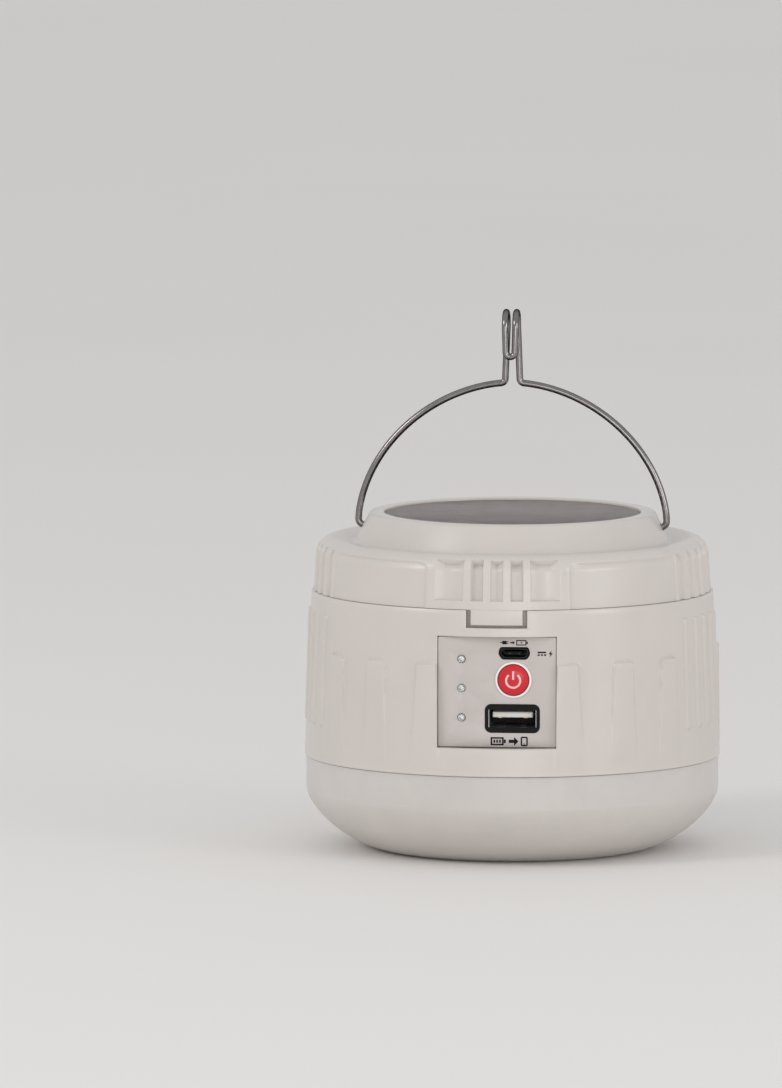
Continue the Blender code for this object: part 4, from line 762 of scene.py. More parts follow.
def add_tab(shape, sizes):
    """The front tab that hangs from the cover's band into the notch."""
    half = sizes.notch_width / 2 - sizes.tab_side_gap
    low = SEAM_HIGH - sizes.notch_depth + sizes.tab_foot_gap
    band = housing_top_radius(sizes) - sizes.cover_inset
    face = housing_top_radius(sizes) - 0.15 * MM
    inner = band - 3.0 * MM
    section = filleted([(inner, low, 0, 0), (face, low, 0.35 * MM, 5),
                        (face - 0.05 * MM, SEAM_HIGH - 0.05 * MM, 0.25 * MM, 4),
                        (band - 0.25 * MM, SEAM_HIGH + 0.25 * MM, 0, 0),
                        (band - 0.9 * MM, SEAM_HIGH + 1.1 * MM, 0, 0),
                        (inner, SEAM_HIGH + 1.1 * MM, 0, 0)])
    loops = []
    for share, inset in ((-1.0, 0.35), (-0.985, 0.1), (-0.965, 0.0), (-0.6, 0.0), (-0.2, 0.0),
                         (0.2, 0.0), (0.6, 0.0), (0.965, 0.0), (0.985, 0.1), (1.0, 0.35)):
        x = share * half
        loop = []
        for radius, z in section:
            shrunk = radius - inset * MM * (radius > inner + 1 * MM)
            loop.append((x, -math.sqrt(shrunk ** 2 - x ** 2), z + (z < low + 0.3 * MM)
                         * inset * 0.3 * MM))
        loops.append(loop)
    shape.loft(loops)


def add_post(shape, number, span, radius, bore_span, bore):
    """A bored post over one of the cover's screws; spans are lowest and highest Z."""
    low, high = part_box(f"cover_screw_{number}")
    shape.turned([(bore, bore_span[0]), (bore, bore_span[1]), (radius, span[1]),
                  (radius, span[0])],
                 ((low.x + high.x) / 2, (low.y + high.y) / 2, 0), segments=32, closed=True)


def diffuser_outline(sizes, inset, steps):
    """Rounded lower edge of the diffuser, from its side in to the flat."""
    flat = sizes.diffuser_flat - inset / 2
    high = SEAM_LOW - sizes.diffuser_side
    power = 2 / sizes.diffuser_round
    points = []
    for step in range(steps + 1):
        turn = math.pi / 2 * step / steps
        points.append((flat + (DIFFUSER_RADIUS - inset - flat) * math.cos(turn) ** power,
                       high - (high - inset) * math.sin(turn) ** power))
    return points


def diffuser_shape(sizes):
    """The frosted bowl with the lip that plugs into the housing's foot."""
    lip = DIFFUSER_RADIUS + sizes.diffuser_inset - sizes.wall - GAP
    lip_inner = lip - 1.4 * MM
    top = SEAM_LOW - SEAM_GAP
    head = filleted([(lip_inner, top - 4.2 * MM, 0, 0), (lip_inner, DIFFUSER_HIGH.z, 0.3 * MM, 3),
                     (lip, DIFFUSER_HIGH.z, 0.4 * MM, 3), (lip, top, 0, 0),
                     (DIFFUSER_RADIUS, top, 0.2 * MM, 5),
                     (DIFFUSER_RADIUS, SEAM_LOW - sizes.diffuser_side, 0, 0)])
    outer = diffuser_outline(sizes, 0.0, 40)
    foot_ring = [(33.2, 0.0), (32.9, 0.18), (32.3, 0.18), (32.0, 0.0), (1.6, 0.0), (1.4, 0.12)]
    foot = [(radius * MM, height * MM) for radius, height in foot_ring] + [(0.0, 0.12 * MM)]
    wall = sizes.diffuser_wall
    inner = [(0.0, wall)] + diffuser_outline(sizes, wall, 24)[::-1]
    profile = [(max(radius, AXIS), height) for radius, height in inner + head + outer + foot]
    return Shape().turned(profile, segments=240)


# ================================================================ lid and bail shapes
def strip_outline(left, right, radius, steps=14):
    """Outline (x, y) of a strip between two X values, cut to a circle."""
    far, near = math.sqrt(radius ** 2 - left ** 2), math.sqrt(radius ** 2 - right ** 2)
    start, stop = math.atan2(near, right), math.atan2(far, left)
    top = [(radius * math.cos(start + (stop - start) * step / steps),
            radius * math.sin(start + (stop - start) * step / steps))
           for step in range(steps + 1)]
    return top + [(x, -y) for x, y in reversed(top)]


def pane_shape():
    """Round pane with its upper edge eased."""
    section = filleted([(AXIS, PANE_HIGH.z, 0, 0), (SOLAR_RADIUS, PANE_HIGH.z, 0.22 * MM, 5),
                        (SOLAR_RADIUS, PANE_LOW.z, 0.06 * MM, 2), (AXIS, PANE_LOW.z, 0, 0)])
    return Shape().turned(section, segments=160)


def wafers_shape(sizes):
    """Cell strips cut to the lid's circle, with a slight bevel at their edges."""
    shape = Shape()
    radius = CELLS_HIGH.x
    pitch = 2 * radius / sizes.strips
    for number in range(sizes.strips):
        left = -radius + pitch * number + sizes.strip_gap / 2
        right = left + pitch - sizes.strip_gap
        left, right = max(left, -radius + 0.4 * MM), min(right, radius - 0.4 * MM)
        loops = []
        for inset, z in ((0.0, CELLS_LOW.z), (0.0, CELLS_HIGH.z - 0.04 * MM),
                         (0.04 * MM, CELLS_HIGH.z)):
            outline = strip_outline(left + inset, right - inset, radius - inset)
            loops.append([(x, y, z) for x, y in outline])
        shape.loft(loops)
    return shape


def bars_shape(sizes):
    """A silver bar along every strip and one ribbon across each end of the lid."""
    shape = Shape()
    radius = CELLS_HIGH.x
    pitch = 2 * radius / sizes.strips
    low, high = CELLS_HIGH.z - 0.02 * MM, CELLS_HIGH.z + sizes.bar_height
    for number in range(sizes.strips):
        x = -radius + pitch * (number + 0.5)
        reach = math.sqrt(radius ** 2 - x ** 2) - 1.6 * MM
        half = sizes.bar_width / 2
        loops = []
        for inset, z in ((0.0, low), (0.0, high - 0.02 * MM), (0.05 * MM, high)):
            outline = rounded_rectangle(2 * (half - inset), 2 * (reach - inset), half - inset,
                                        (x, 0.0), 4)
            loops.append([(a, b, z) for a, b in outline])
        shape.loft(loops)
    return shape


def bail_path(sizes):
    """Right half of the wire from its end in the collar to the foot of the tongue."""
    half = BAIL_HIGH.x - sizes.wire
    corners = [Vector((sizes.pivot_end, 0, 0)), Vector((half, 0, 0))]
    arch = []
    for step in range(60):
        turn = math.radians(6.0 + 79.0 * step / 59)
        power = 2 / sizes.arch_round
        arch.append(Vector((half * math.cos(turn) ** power, 0,
                            sizes.rise * math.sin(turn) ** power)))
    path = [corners[0]] + round_corner(corners[0], corners[1], arch[0], sizes.bend, 12) + arch
    neck = Vector((sizes.neck, 0, sizes.rise))
    crown = Vector((sizes.crown_half, 0, sizes.rise + sizes.neck_rise))
    path += round_corner(arch[-1], neck, crown, sizes.bend, 12)
    path.append((path[-1] + crown) / 2)
    for step in range(33):
        turn = math.pi * step / 32
        path.append(crown + Vector((0, -sizes.crown * (1 - math.cos(turn)),
                                    sizes.crown * math.sin(turn))))
    foot = Vector((sizes.tongue_half, -2 * sizes.crown, crown.z - sizes.tongue))
    path.append((path[-1] + foot) / 2)
    for step in range(13):
        turn = math.pi / 2 * step / 12
        path.append(foot - Vector((sizes.tongue_half * (1 - math.cos(turn)), 0,
                                   sizes.tongue_half * math.sin(turn))))
    return path


def round_corner(start, corner, stop, radius, steps):
    """Points of the bend that rounds a corner of a wire."""
    to_start, to_stop = (start - corner).normalized(), (stop - corner).normalized()
    half = to_start.angle(to_stop) / 2
    reach = min(radius / math.tan(half), 0.95 * (start - corner).length,
                0.95 * (stop - corner).length)
    centre = corner + (to_start + to_stop).normalized() * reach / math.cos(half)
    first = corner + to_start * reach - centre
    last = corner + to_stop * reach - centre
    turn = first.cross(last).normalized()
    sweep = first.angle(last)
    return [centre + Matrix.Rotation(sweep * step / steps, 3, turn) @ first
            for step in range(steps + 1)]


def wire_shape(points, radius, sides=20):
    """A round wire along points, with softly rounded ends."""
    rings = []
    normal = None
    for index, point in enumerate(points):
        ahead = points[min(index + 1, len(points) - 1)] - points[max(index - 1, 0)]
        ahead.normalize()
        if normal is None:
            normal = ahead.orthogonal().normalized()
        normal = (normal - ahead * normal.dot(ahead)).normalized()
        across = ahead.cross(normal)
        rings.append((point, ahead, normal, across))
    loops = []

    def ring(data, share, move):
        point, ahead, normal, across = data
        return [point + ahead * move + (normal * math.cos(turn) + across * math.sin(turn))
                * radius * share
                for turn in [2 * math.pi * step / sides for step in range(sides)]]

    loops.append(ring(rings[0], 0.75, 0.0))
    loops.append(ring(rings[0], 1.0, 0.2 * radius))
    loops += [ring(data, 1.0, 0.0) for data in rings[1:-1]]
    loops.append(ring(rings[-1], 1.0, -0.2 * radius))
    loops.append(ring(rings[-1], 0.75, 0.0))
    return Shape().loft(loops)


# ================================================================ panel shapes
PRINT_SET = 0.015 * MM          # print ahead of the plate's face
PRINT_DEPTH = 0.04 * MM


def plate_with_holes(shape, outline, holes, front, back, edge):
    """A flat plate facing -Y; outline and holes are functions of how far they are moved out."""
    work = bmesh.new()
    levels = [(edge, front), (0.3 * edge, front + 0.3 * edge), (0.0, front + edge),
              (0.0, back)]
    faces = []
    caps = [[], []]
    for loop_at, sign in [(outline, -1)] + [(hole, 1) for hole in holes]:
        rings = []
        for inset, y in levels:
            ring = [work.verts.new((x, y, z)) for x, z in loop_at(sign * inset)]
            rings.append(ring)
        for low, high in zip(rings, rings[1:]):
            for step in range(len(low)):
                after = (step + 1) % len(low)
                faces.append(work.faces.new((low[step], low[after], high[after], high[step])))
        caps[0].append(rings[0])
        caps[1].append(rings[-1])
    for side in caps:
        edges = []
        for ring in side:
            for step in range(len(ring)):
                pair = ring[step], ring[(step + 1) % len(ring)]
                found = work.edges.get(pair)
                edges.append(found or work.edges.new(pair))
        bmesh.ops.triangle_fill(work, use_beauty=True, use_dissolve=False, edges=edges)
    work.verts.index_update()
    shape.add([vert.co for vert in work.verts],
              [[vert.index for vert in face.verts] for face in work.faces])
    work.free()


def micro_outline(width, height, grow=0.0, at=(0.0, 0.0)):
    """The charge inlet's outline (x, z): square above, drawn in at the lower corners."""
    half, rise = width / 2 + grow, height / 2 + grow
    shoulder, foot = 0.22 * rise, 0.80 * half
    corners = [(foot, -rise), (half, -shoulder), (half, shoulder), (0.90 * half, rise)]
    ring = corners + [(-x, z) for x, z in corners[::-1]]
    loop = []
    for index, corner in enumerate(ring):
        before, after = Vector(ring[index - 1]), Vector(ring[(index + 1) % len(ring)])
        here = Vector(corner)
        reach = min(0.22 * height, 0.45 * (before - here).length, 0.45 * (after - here).length)
        start = here + (before - here).normalized() * reach
        stop = here + (after - here).normalized() * reach
        for step in range(5):
            share = step / 4
            point = start * (1 - share) ** 2 + here * 2 * share * (1 - share) + stop * share ** 2
            loop.append((at[0] + point.x, at[1] + point.y))
    return loop


def panel_shape(sizes):
    """Plate with its holes, the flange behind the opening and the raised button ring."""
    shape = Shape()
    inlet_at, outlet_at = (INLET_AT.x, INLET_AT.z), (OUTLET_AT.x, OUTLET_AT.z)
    cap_at = (CAP_AT.x, CAP_AT.z)
    bore = sizes.button + sizes.button_gap

    def outline(grow):
        return rounded_rectangle(sizes.width + 2 * grow, sizes.height + 2 * grow,
                                 0.5 * MM + grow, (0.0, PANEL_AT.z), 5)

    def outlet_hole(grow):
        return rounded_rectangle(sizes.outlet_hole_width + 2 * grow,
                                 sizes.outlet_hole_height + 2 * grow,
                                 sizes.outlet_corner + grow, outlet_at, 8)

    def inlet_hole(grow):
        return micro_outline(sizes.inlet_hole_width, sizes.inlet_hole_height, grow, inlet_at)

    holes = [outlet_hole, inlet_hole, lambda grow: circle(bore + grow, cap_at, 64)]
    for name in INDICATORS:
        holes.append(lambda grow, at=middle(name): circle(sizes.lens + 0.12 * MM + grow, at, 32))
    plate_with_holes(shape, outline, holes, PANEL_FACE, PANEL_FACE + sizes.wall, sizes.edge)
    add_flange(shape, sizes)
    return shape


def ring_shape(sizes):
    """Raised ring round the power button; its pale colour is partly a painted highlight."""
    bore = sizes.button + sizes.button_gap
    outer = bore + sizes.ring
    section = filleted([(bore, 0.5 * MM, 0, 0), (bore, -sizes.ring_proud, 0.12 * MM, 3),
                        (outer, -sizes.ring_proud, 0.3 * MM, 5), (outer, 0.5 * MM, 0, 0)])
    return Shape().turned(section, (CAP_AT.x, PANEL_FACE, CAP_AT.z), 'Y', 72, closed=True)


def add_flange(shape, sizes):
    """The skirt behind the plate and the flange that stops it in the opening."""
    seat = PANEL_FACE + sizes.flange_seat
    back = seat + sizes.flange_wall
    grown = 2 * (sizes.gap + sizes.flange)
    low = PANEL_LOW.z
    high = PANEL_AT.z + sizes.height / 2 + sizes.gap + sizes.flange
    inner = rounded_rectangle(sizes.width - 6.0 * MM, sizes.height - 2.6 * MM, 0.5 * MM,
                              (0.6 * MM, PANEL_AT.z), 3)
    skirt = rounded_rectangle(sizes.width, sizes.height, 0.5 * MM, (0.0, PANEL_AT.z), 3)
    flange = rounded_rectangle(sizes.width + grown, high - low, 0.5 * MM,
                               (0.0, (low + high) / 2), 3)
    plate_back = PANEL_FACE + sizes.wall - 0.2 * MM
    shape.loft([at_depth(inner, plate_back), at_depth(skirt, plate_back),
                at_depth(skirt, seat), at_depth(flange, seat), at_depth(flange, back),
                at_depth(inner, back)], closed=True)


def cap_height(sizes, radius):
    """How far the button's crown stands ahead of the plate at a radius."""
    share = np.clip(radius / sizes.button, 0.0, 1.0)
    return (PANEL_FACE - CAP_LOW.y) * (1.0 - 0.62 * share ** 3.0)


def cap_shape(sizes):
    """The button's crowned cap with its flange and stem."""
    profile = [(AXIS, -cap_height(sizes, 0.0))]
    for step in range(1, 20):
        radius = (sizes.button - 0.22 * MM) * step / 19
        profile.append((radius, -cap_height(sizes, radius)))
    rim = -cap_height(sizes, sizes.button)
    for step in range(1, 6):
        turn = math.pi / 2 * step / 5
        profile.append((sizes.button - 0.22 * MM * (1 - math.sin(turn)),
                        rim + 0.22 * MM * (1 - math.cos(turn))))
    flange = sizes.wall + 0.4 * MM
    stem = CAP_HIGH.y - PANEL_FACE
    profile += [(sizes.button, flange), (sizes.button + 1.0 * MM, flange),
                (sizes.button + 1.0 * MM, flange + 0.8 * MM), (1.7 * MM, flange + 0.8 * MM),
                (1.7 * MM, stem), (AXIS, stem)]
    return Shape().turned(profile, (CAP_AT.x, PANEL_FACE, CAP_AT.z), 'Y', 72)


def add_ribbon(shape, line, width, surface, depth):
    """A raised ribbon along (x, z) points, laid on a surface that gives its Y."""
    rails = []
    for index, point in enumerate(line):
        here = Vector(point)
        ahead = Vector(line[min(index + 1, len(line) - 1)]) - Vector(line[max(index - 1, 0)])
        across = Vector((-ahead.y, ahead.x)).normalized() * width / 2
        rails.append((here + across, here - across))
    loops = []
    for left, right in rails:
        loops.append([(left.x, surface(*left) + depth, left.y), (left.x, surface(*left), left.y),
                      (right.x, surface(*right), right.y),
                      (right.x, surface(*right) + depth, right.y)])
    shape.loft(loops)


def straight(start, stop, steps=1):
    return [(start[0] + (stop[0] - start[0]) * step / steps,
             start[1] + (stop[1] - start[1]) * step / steps) for step in range(steps + 1)]


def arc(at, radius, start, stop, steps=24):
    """Points (x, z) of an arc; angles in degrees, 0 at +X."""
    return [(at[0] + radius * math.cos(math.radians(start + (stop - start) * step / steps)),
             at[1] + radius * math.sin(math.radians(start + (stop - start) * step / steps)))
            for step in range(steps + 1)]


def power_mark_shape(sizes):
    """The stand-by symbol, raised a little on the button's crown."""
    shape = Shape()

    def crown(x, z):
        radius = math.hypot(x - CAP_AT.x, z - CAP_AT.z)
        return PANEL_FACE - cap_height(sizes, radius) - 0.05 * MM

    at = (CAP_AT.x, CAP_AT.z - 0.1 * MM)
    radius = 0.46 * sizes.button
    add_ribbon(shape, arc(at, radius, 128, 412, 44), 0.55 * MM, crown, 0.3 * MM)
    add_ribbon(shape, straight((at[0], at[1] + 1.35 * radius), (at[0], at[1] + 0.15 * radius), 10),
               0.55 * MM, crown, 0.3 * MM)
    return shape


def add_patch(shape, outline, y):
    """A thin flat patch of print with an outline of (x, z) points."""
    shape.loft([at_depth(outline, y), at_depth(outline, y + PRINT_DEPTH)])


def bolt_outline(at, size):
    """A lightning bolt."""
    corners = [(0.15, 0.5), (-0.28, -0.06), (-0.02, -0.06), (-0.15, -0.5), (0.28, 0.08),
               (0.02, 0.08)]
    return [(at[0] + x * size, at[1] + z * size) for x, z in corners]


def arrow_outline(at, reach, height):
    """A block arrow that points to +X."""
    corners = [(-0.5, 0.18), (0.05, 0.18), (0.05, 0.5), (0.5, 0.0), (0.05, -0.5), (0.05, -0.18),
               (-0.5, -0.18)]
    return [(at[0] + x * reach, at[1] + z * height) for x, z in corners]


def add_battery_mark(shape, at, reach, height, line, surface):
    """A battery outline with its terminal at the +X end."""
    half, rise = reach / 2 - line / 2, height / 2 - line / 2
    frame_line = [(-half, rise), (half, rise), (half, -rise), (-half, -rise)]
    for index in range(4):
        start, stop = Vector(frame_line[index]), Vector(frame_line[(index + 1) % 4])
        run = (stop - start).normalized() * line / 2
        add_ribbon(shape, straight(start - run + Vector(at), stop + run + Vector(at)), line,
                   surface, PRINT_DEPTH)
    tip = (at[0] + reach / 2 + 0.14 * height, at[1])
    add_patch(shape, rounded_rectangle(0.24 * height, 0.45 * height, 0.02 * MM, tip, 1),
              surface(*tip))


def marks_shape():
    """Generic signs printed by the sockets: charging, direct current and power out."""
    shape = Shape()
    level = PANEL_FACE - PRINT_SET

    def face(x, z):
        return level

    def beside(at, across, up=0.0):
        """A place some millimetres to the right of and above another."""
        return at[0] + across * MM, at[1] + up * MM

    def patch(at, width, height, corner=0.02, steps=1):
        """A rounded patch with its sizes in millimetres."""
        outline = rounded_rectangle(width * MM, height * MM, corner * MM, at, steps)
        add_patch(shape, outline, level)

    charge = beside((INLET_AT.x, INLET_AT.z), 0.0, 2.9)
    battery = beside(charge, 1.9)
    add_battery_mark(shape, battery, 2.7 * MM, 1.45 * MM, 0.26 * MM, face)
    add_patch(shape, bolt_outline(battery, 0.95 * MM), level)
    add_patch(shape, arrow_outline(beside(charge, -0.45), 1.3 * MM, 0.95 * MM), level)
    plug = beside(charge, -2.6)
    patch(plug, 1.2, 0.95, 0.2, 3)
    for side in (-1, 1):
        patch(beside(plug, 0.8, side * 0.26), 0.55, 0.2)
    patch(beside(plug, -0.85), 0.7, 0.2)
    supply = beside((INLET_AT.x, INLET_AT.z), 7.4)
    patch(beside(supply, 0.0, 0.35), 2.3, 0.42)
    for step in (-1, 0, 1):
        patch(beside(supply, step * 0.87, -0.35), 0.56, 0.42)
    add_patch(shape, bolt_outline(beside(supply, 2.35), 2.0 * MM), level)
    out = beside((OUTLET_AT.x, OUTLET_AT.z), -0.3, -6.1)
    add_battery_mark(shape, beside(out, -3.75), 3.5 * MM, 2.2 * MM, 0.44 * MM, face)
    for step in range(3):
        patch(beside(out, -4.5 + step * 0.75), 0.5, 0.85, 0.03)
    add_patch(shape, arrow_outline(beside(out, 0.65), 2.6 * MM, 2.4 * MM), level)
    phone = beside(out, 3.5)
    half, rise = 0.75, 1.1
    for side in (-1, 1):
        upright = [beside(phone, side * half, end * rise) for end in (-1, 1)]
        level_line = [beside(phone, end * half, side * rise) for end in (-1, 1)]
        add_ribbon(shape, upright, 0.4 * MM, face, PRINT_DEPTH)
        add_ribbon(shape, level_line, 0.42 * MM, face, PRINT_DEPTH)
    patch(beside(phone, 0.0, -0.68), 0.4, 0.2)
    return shape


# ================================================================ socket and lamp shapes
TONGUE_ROOT = 2.42 * MM         # the outlet's moulding from its back to the tongue's root
OUTLET_TONGUE_RISE = 0.9 * MM   # tongues above the middles of their sleeves
INLET_TONGUE_RISE = 0.2 * MM


def sleeve_loops(outline, front, back, wall):
    """Loops of a sheet-metal sleeve whose mouth is slightly rounded."""
    lip = 0.3 * wall
    return [at_depth(outline(-wall), back), at_depth(outline(-wall), front + lip),
            at_depth(outline(-wall + lip), front), at_depth(outline(-lip), front),
            at_depth(outline(0.0), front + lip), at_depth(outline(0.0), back)]


def outlet_sleeve_shape():
    """Tin sleeve of the USB outlet with its four spring leaves."""
    shape = Shape()
    at = (OUTLET_AT.x, OUTLET_AT.z)
    wall = 0.4 * MM

    def outline(grow):
        return rounded_rectangle(OUTLET_SIZE.x + 2 * grow, OUTLET_SIZE.z + 2 * grow,
                                 0.65 * MM + grow, at, 5)

    shape.loft(sleeve_loops(outline, OUTLET_LOW.y, OUTLET_HIGH.y, wall), closed=True)
    for side_z in (-1, 1):
        base = at[1] + side_z * (OUTLET_SIZE.z / 2 - wall)
        for side_x in (-1, 1):
            x = at[0] + side_x * 2.9 * MM
            loops = []
            for y, stand in ((1.2, 0.02), (2.6, 0.22), (4.4, 0.42), (5.6, 0.36), (6.6, 0.05)):
                z = base - side_z * stand * MM
                corners = ((-1, 0), (1, 0), (1, side_z), (-1, side_z))
                loops.append([(x + across * 0.95 * MM, OUTLET_LOW.y + y * MM,
                               z + up * 0.15 * MM) for across, up in corners])
            shape.loft(loops)
    return shape


def outlet_back_shape():
    """Moulding at the back of the outlet that holds the tongue."""
    low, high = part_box("usb_a_insert")
    block = rounded_rectangle(high.x - low.x, high.z - low.z, 0.3 * MM,
                              middle("usb_a_insert"), 3)
    return Shape().loft([at_depth(block, high.y - TONGUE_ROOT), at_depth(block, high.y)])


def outlet_tongue_shape():
    """Pale tongue that carries the outlet's contacts."""
    low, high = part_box("usb_a_insert")
    at = ((low.x + high.x) / 2, (low.z + high.z) / 2 + OUTLET_TONGUE_RISE)
    front = high.y - 10.1 * MM
    loops = []
    for inset, y in ((0.30, front), (0.06, front + 0.18 * MM), (0.0, front + 0.5 * MM),
                     (0.0, high.y - TONGUE_ROOT - 0.02 * MM)):
        loops.append(at_depth(rounded_rectangle(10.7 * MM - 2 * inset * MM,
                                                1.5 * MM - 2 * inset * MM, 0.14 * MM, at, 3), y))
    return Shape().loft(loops)


def contacts_shape(middle, pitch, number, width, face, front, reach, thick):
    """Flat contacts side by side on a tongue's face."""
    shape = Shape()
    for step in range(number):
        x = middle + (step - (number - 1) / 2) * pitch
        start = front + (0.0 if step in (0, number - 1) else 0.9 * MM)
        loops = []
        for inset, y in ((0.06 * MM, start), (0.0, start + 0.12 * MM), (0.0, start + reach)):
            outline = rounded_rectangle(width - 2 * inset, thick, 0.3 * thick, (x, face), 2)
            loops.append(at_depth(outline, y))
        shape.loft(loops)
    return shape


def painted_shade_surround_shape(sizes):
    """Black moulding round the outlet, painted shade in the gap round the sleeve; its lip covers
    the sleeve's upper and lower edges with the same painted shade.
    """
    at = (OUTLET_AT.x, OUTLET_AT.z)

    slack = 0.06 * MM
    width, height = sizes.outlet_hole_width - 2 * slack, sizes.outlet_hole_height - 2 * slack
    inner = (OUTLET_SIZE.x + 2 * slack, OUTLET_SIZE.z + 2 * slack)
    mouth = (OUTLET_SIZE.x + 0.04 * MM, OUTLET_SIZE.z - 0.95 * MM)
    front, back = PANEL_FACE - 0.12 * MM, GASKET_HIGH.y
    lip_back = OUTLET_LOW.y - 0.03 * MM
    corner = sizes.outlet_corner - slack
    flange = (GASKET_HIGH.x - GASKET_LOW.x, GASKET_HIGH.z - GASKET_LOW.z)
    bevel = 0.14 * MM
    steps = [(*inner, 0.7 * MM, back), (*inner, 0.7 * MM, lip_back),
             (*mouth, 0.35 * MM, lip_back), (*mouth, 0.35 * MM, front + bevel),
             (mouth[0] + bevel, mouth[1] + bevel, 0.4 * MM, front),
             (width - 2 * bevel, height - 2 * bevel, corner - bevel, front),
             (width, height, corner, front + bevel), (width, height, corner, GASKET_LOW.y),
             (*flange, corner, GASKET_LOW.y), (*flange, corner, back)]
    loops = [at_depth(rounded_rectangle(*size, at, 8), y) for *size, y in steps]
    return Shape().loft(loops, closed=True)


def inlet_sleeve_shape():
    """Tin sleeve of the charge inlet, drawn in at its lower corners; its near-black finish is
    painted shade.
    """
    at = (INLET_AT.x, INLET_AT.z)

    def outline(grow):
        return micro_outline(INLET_SIZE.x, INLET_SIZE.z, grow, at)

    return Shape().loft(sleeve_loops(outline, INLET_LOW.y, INLET_HIGH.y, 0.35 * MM), closed=True)


def inlet_insert_shape():
    """Black moulding at the back of the inlet and its thin tongue."""
    shape = Shape()
    low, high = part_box("micro_usb_insert")
    at = (INLET_AT.x, INLET_AT.z)
    block = micro_outline(high.x - low.x, high.z - low.z, -0.05 * MM, at)
    shape.loft([at_depth(block, high.y - 1.3 * MM), at_depth(block, high.y)])
    tongue = (at[0], at[1] + INLET_TONGUE_RISE)
    loops = []
    for inset, y in ((0.12, high.y - 5.4 * MM), (0.0, high.y - 5.2 * MM), (0.0, high.y - 1.0 * MM)):
        loops.append(at_depth(rounded_rectangle(4.2 * MM - 2 * inset * MM,
                                                0.6 * MM - 2 * inset * MM, 0.1 * MM, tongue, 2),
                              y))
    shape.loft(loops)
    return shape


def lens_shape(sizes, at):
    """Clear domed lens of an indicator with its flange."""
    profile = []
    for step in range(13):
        turn = math.pi / 2 * step / 12
        profile.append((max(sizes.lens * math.sin(turn), AXIS),
                        0.05 * MM - 0.65 * MM * math.cos(turn)))
    flange = sizes.wall + GAP
    grown = sizes.lens + 0.4 * MM
    profile += [(sizes.lens, flange), (grown, flange), (grown, flange + 1.0 * MM),
                (AXIS, flange + 1.0 * MM)]
    return Shape().turned(profile, (at[0], PANEL_FACE, at[1]), 'Y', 32)


def lamp_works_shape(sizes, at, back):
    """An indicator's reflector cup and its two legs to the board."""
    shape = Shape()
    cup = sizes.wall + 1.4 * MM
    shape.turned([(0.30 * MM, cup - 1.0 * MM), (0.55 * MM, cup - 1.35 * MM),
                  (0.66 * MM, cup - 1.35 * MM), (0.66 * MM, cup - 0.4 * MM),
                  (0.10 * MM, cup - 0.4 * MM), (0.10 * MM, cup - 1.0 * MM)],
                 (at[0], PANEL_FACE, at[1]), 'Y', 24, closed=True)
    for side in (-1, 1):
        leg = rounded_rectangle(0.4 * MM, 0.4 * MM, 0.06 * MM, (at[0] + side * 0.5 * MM, at[1]), 1)
        shape.loft([at_depth(leg, PANEL_FACE + cup - 0.5 * MM), at_depth(leg, back)])
    return shape


# ================================================================ shared effects
def new_group(name, inputs, outputs):
    """A shader node group with named sockets: (name, kind, default)."""
    tree = bpy.data.node_groups.new(name, 'ShaderNodeTree')
    for label, kind, default in inputs:
        socket = tree.interface.new_socket(name=label, in_out='INPUT', socket_type=kind)
        socket.default_value = default
    for label, kind in outputs:
        tree.interface.new_socket(name=label, in_out='OUTPUT', socket_type=kind)
    return tree, tree.nodes.new('NodeGroupInput'), tree.nodes.new('NodeGroupOutput')


def give(tree, socket, value):
    """Link a socket's value to an input, or set the input to a plain value."""
    if isinstance(value, bpy.types.NodeSocket):
        tree.links.new(value, socket)
    else:
        socket.default_value = value


def node(tree, kind, values=None, **settings):
    """A node with its settings made and its unlinked inputs set."""
    made = tree.nodes.new(kind)
    for name, value in settings.items():
        setattr(made, name, value)
    for label, value in (values or {}).items():
        give(tree, made.inputs[label], value)
    return made


def spot(tree):
    """Coordinates fixed to the piece, in metres."""
    return tree.nodes.new('ShaderNodeTexCoord').outputs['Object']


def noise(tree, scale, detail=3.0, rough=0.55, vector=None, distortion=0.0):
    return node(tree, 'ShaderNodeTexNoise',
                {'Vector': vector or spot(tree), 'Scale': scale, 'Detail': detail,
                 'Roughness': rough, 'Distortion': distortion}).outputs['Fac']


def remap(tree, value, low, high, to_low=0.0, to_high=1.0):
    """A value stretched from one span to another, held at both ends."""
    return node(tree, 'ShaderNodeMapRange',
                {'Value': value, 'From Min': low, 'From Max': high, 'To Min': to_low,
                 'To Max': to_high}).outputs['Result']


def maths(tree, operation, first, second=0.5):
    return node(tree, 'ShaderNodeMath', {0: first, 1: second}, operation=operation).outputs[0]


def times(tree, first, second):
    return maths(tree, 'MULTIPLY', first, second)


def blend_colour(tree, share, first, second):
    return node(tree, 'ShaderNodeMix', {0: share, 6: first, 7: second},
                data_type='RGBA').outputs[2]


def moulded_grain_group():
    """Fine moulded grain: a height, and a slow mottle."""
    tree, given, out = new_group("moulded_grain", [
        ("Scale", 'NodeSocketFloat', 2500.0)], [
        ("Height", 'NodeSocketFloat'), ("Mottle", 'NodeSocketFloat')])
    fine = noise(tree, given.outputs['Scale'], 2.0, 0.6)
    coarse = noise(tree, times(tree, given.outputs['Scale'], 0.22), 3.0, 0.5)
    height = maths(tree, 'ADD', times(tree, fine, 0.65), times(tree, coarse, 0.35))
    tree.links.new(height, out.inputs['Height'])
    slow = noise(tree, times(tree, given.outputs['Scale'], 0.02), 4.0, 0.6)
    tree.links.new(remap(tree, slow, 0.3, 0.7), out.inputs['Mottle'])
    return tree


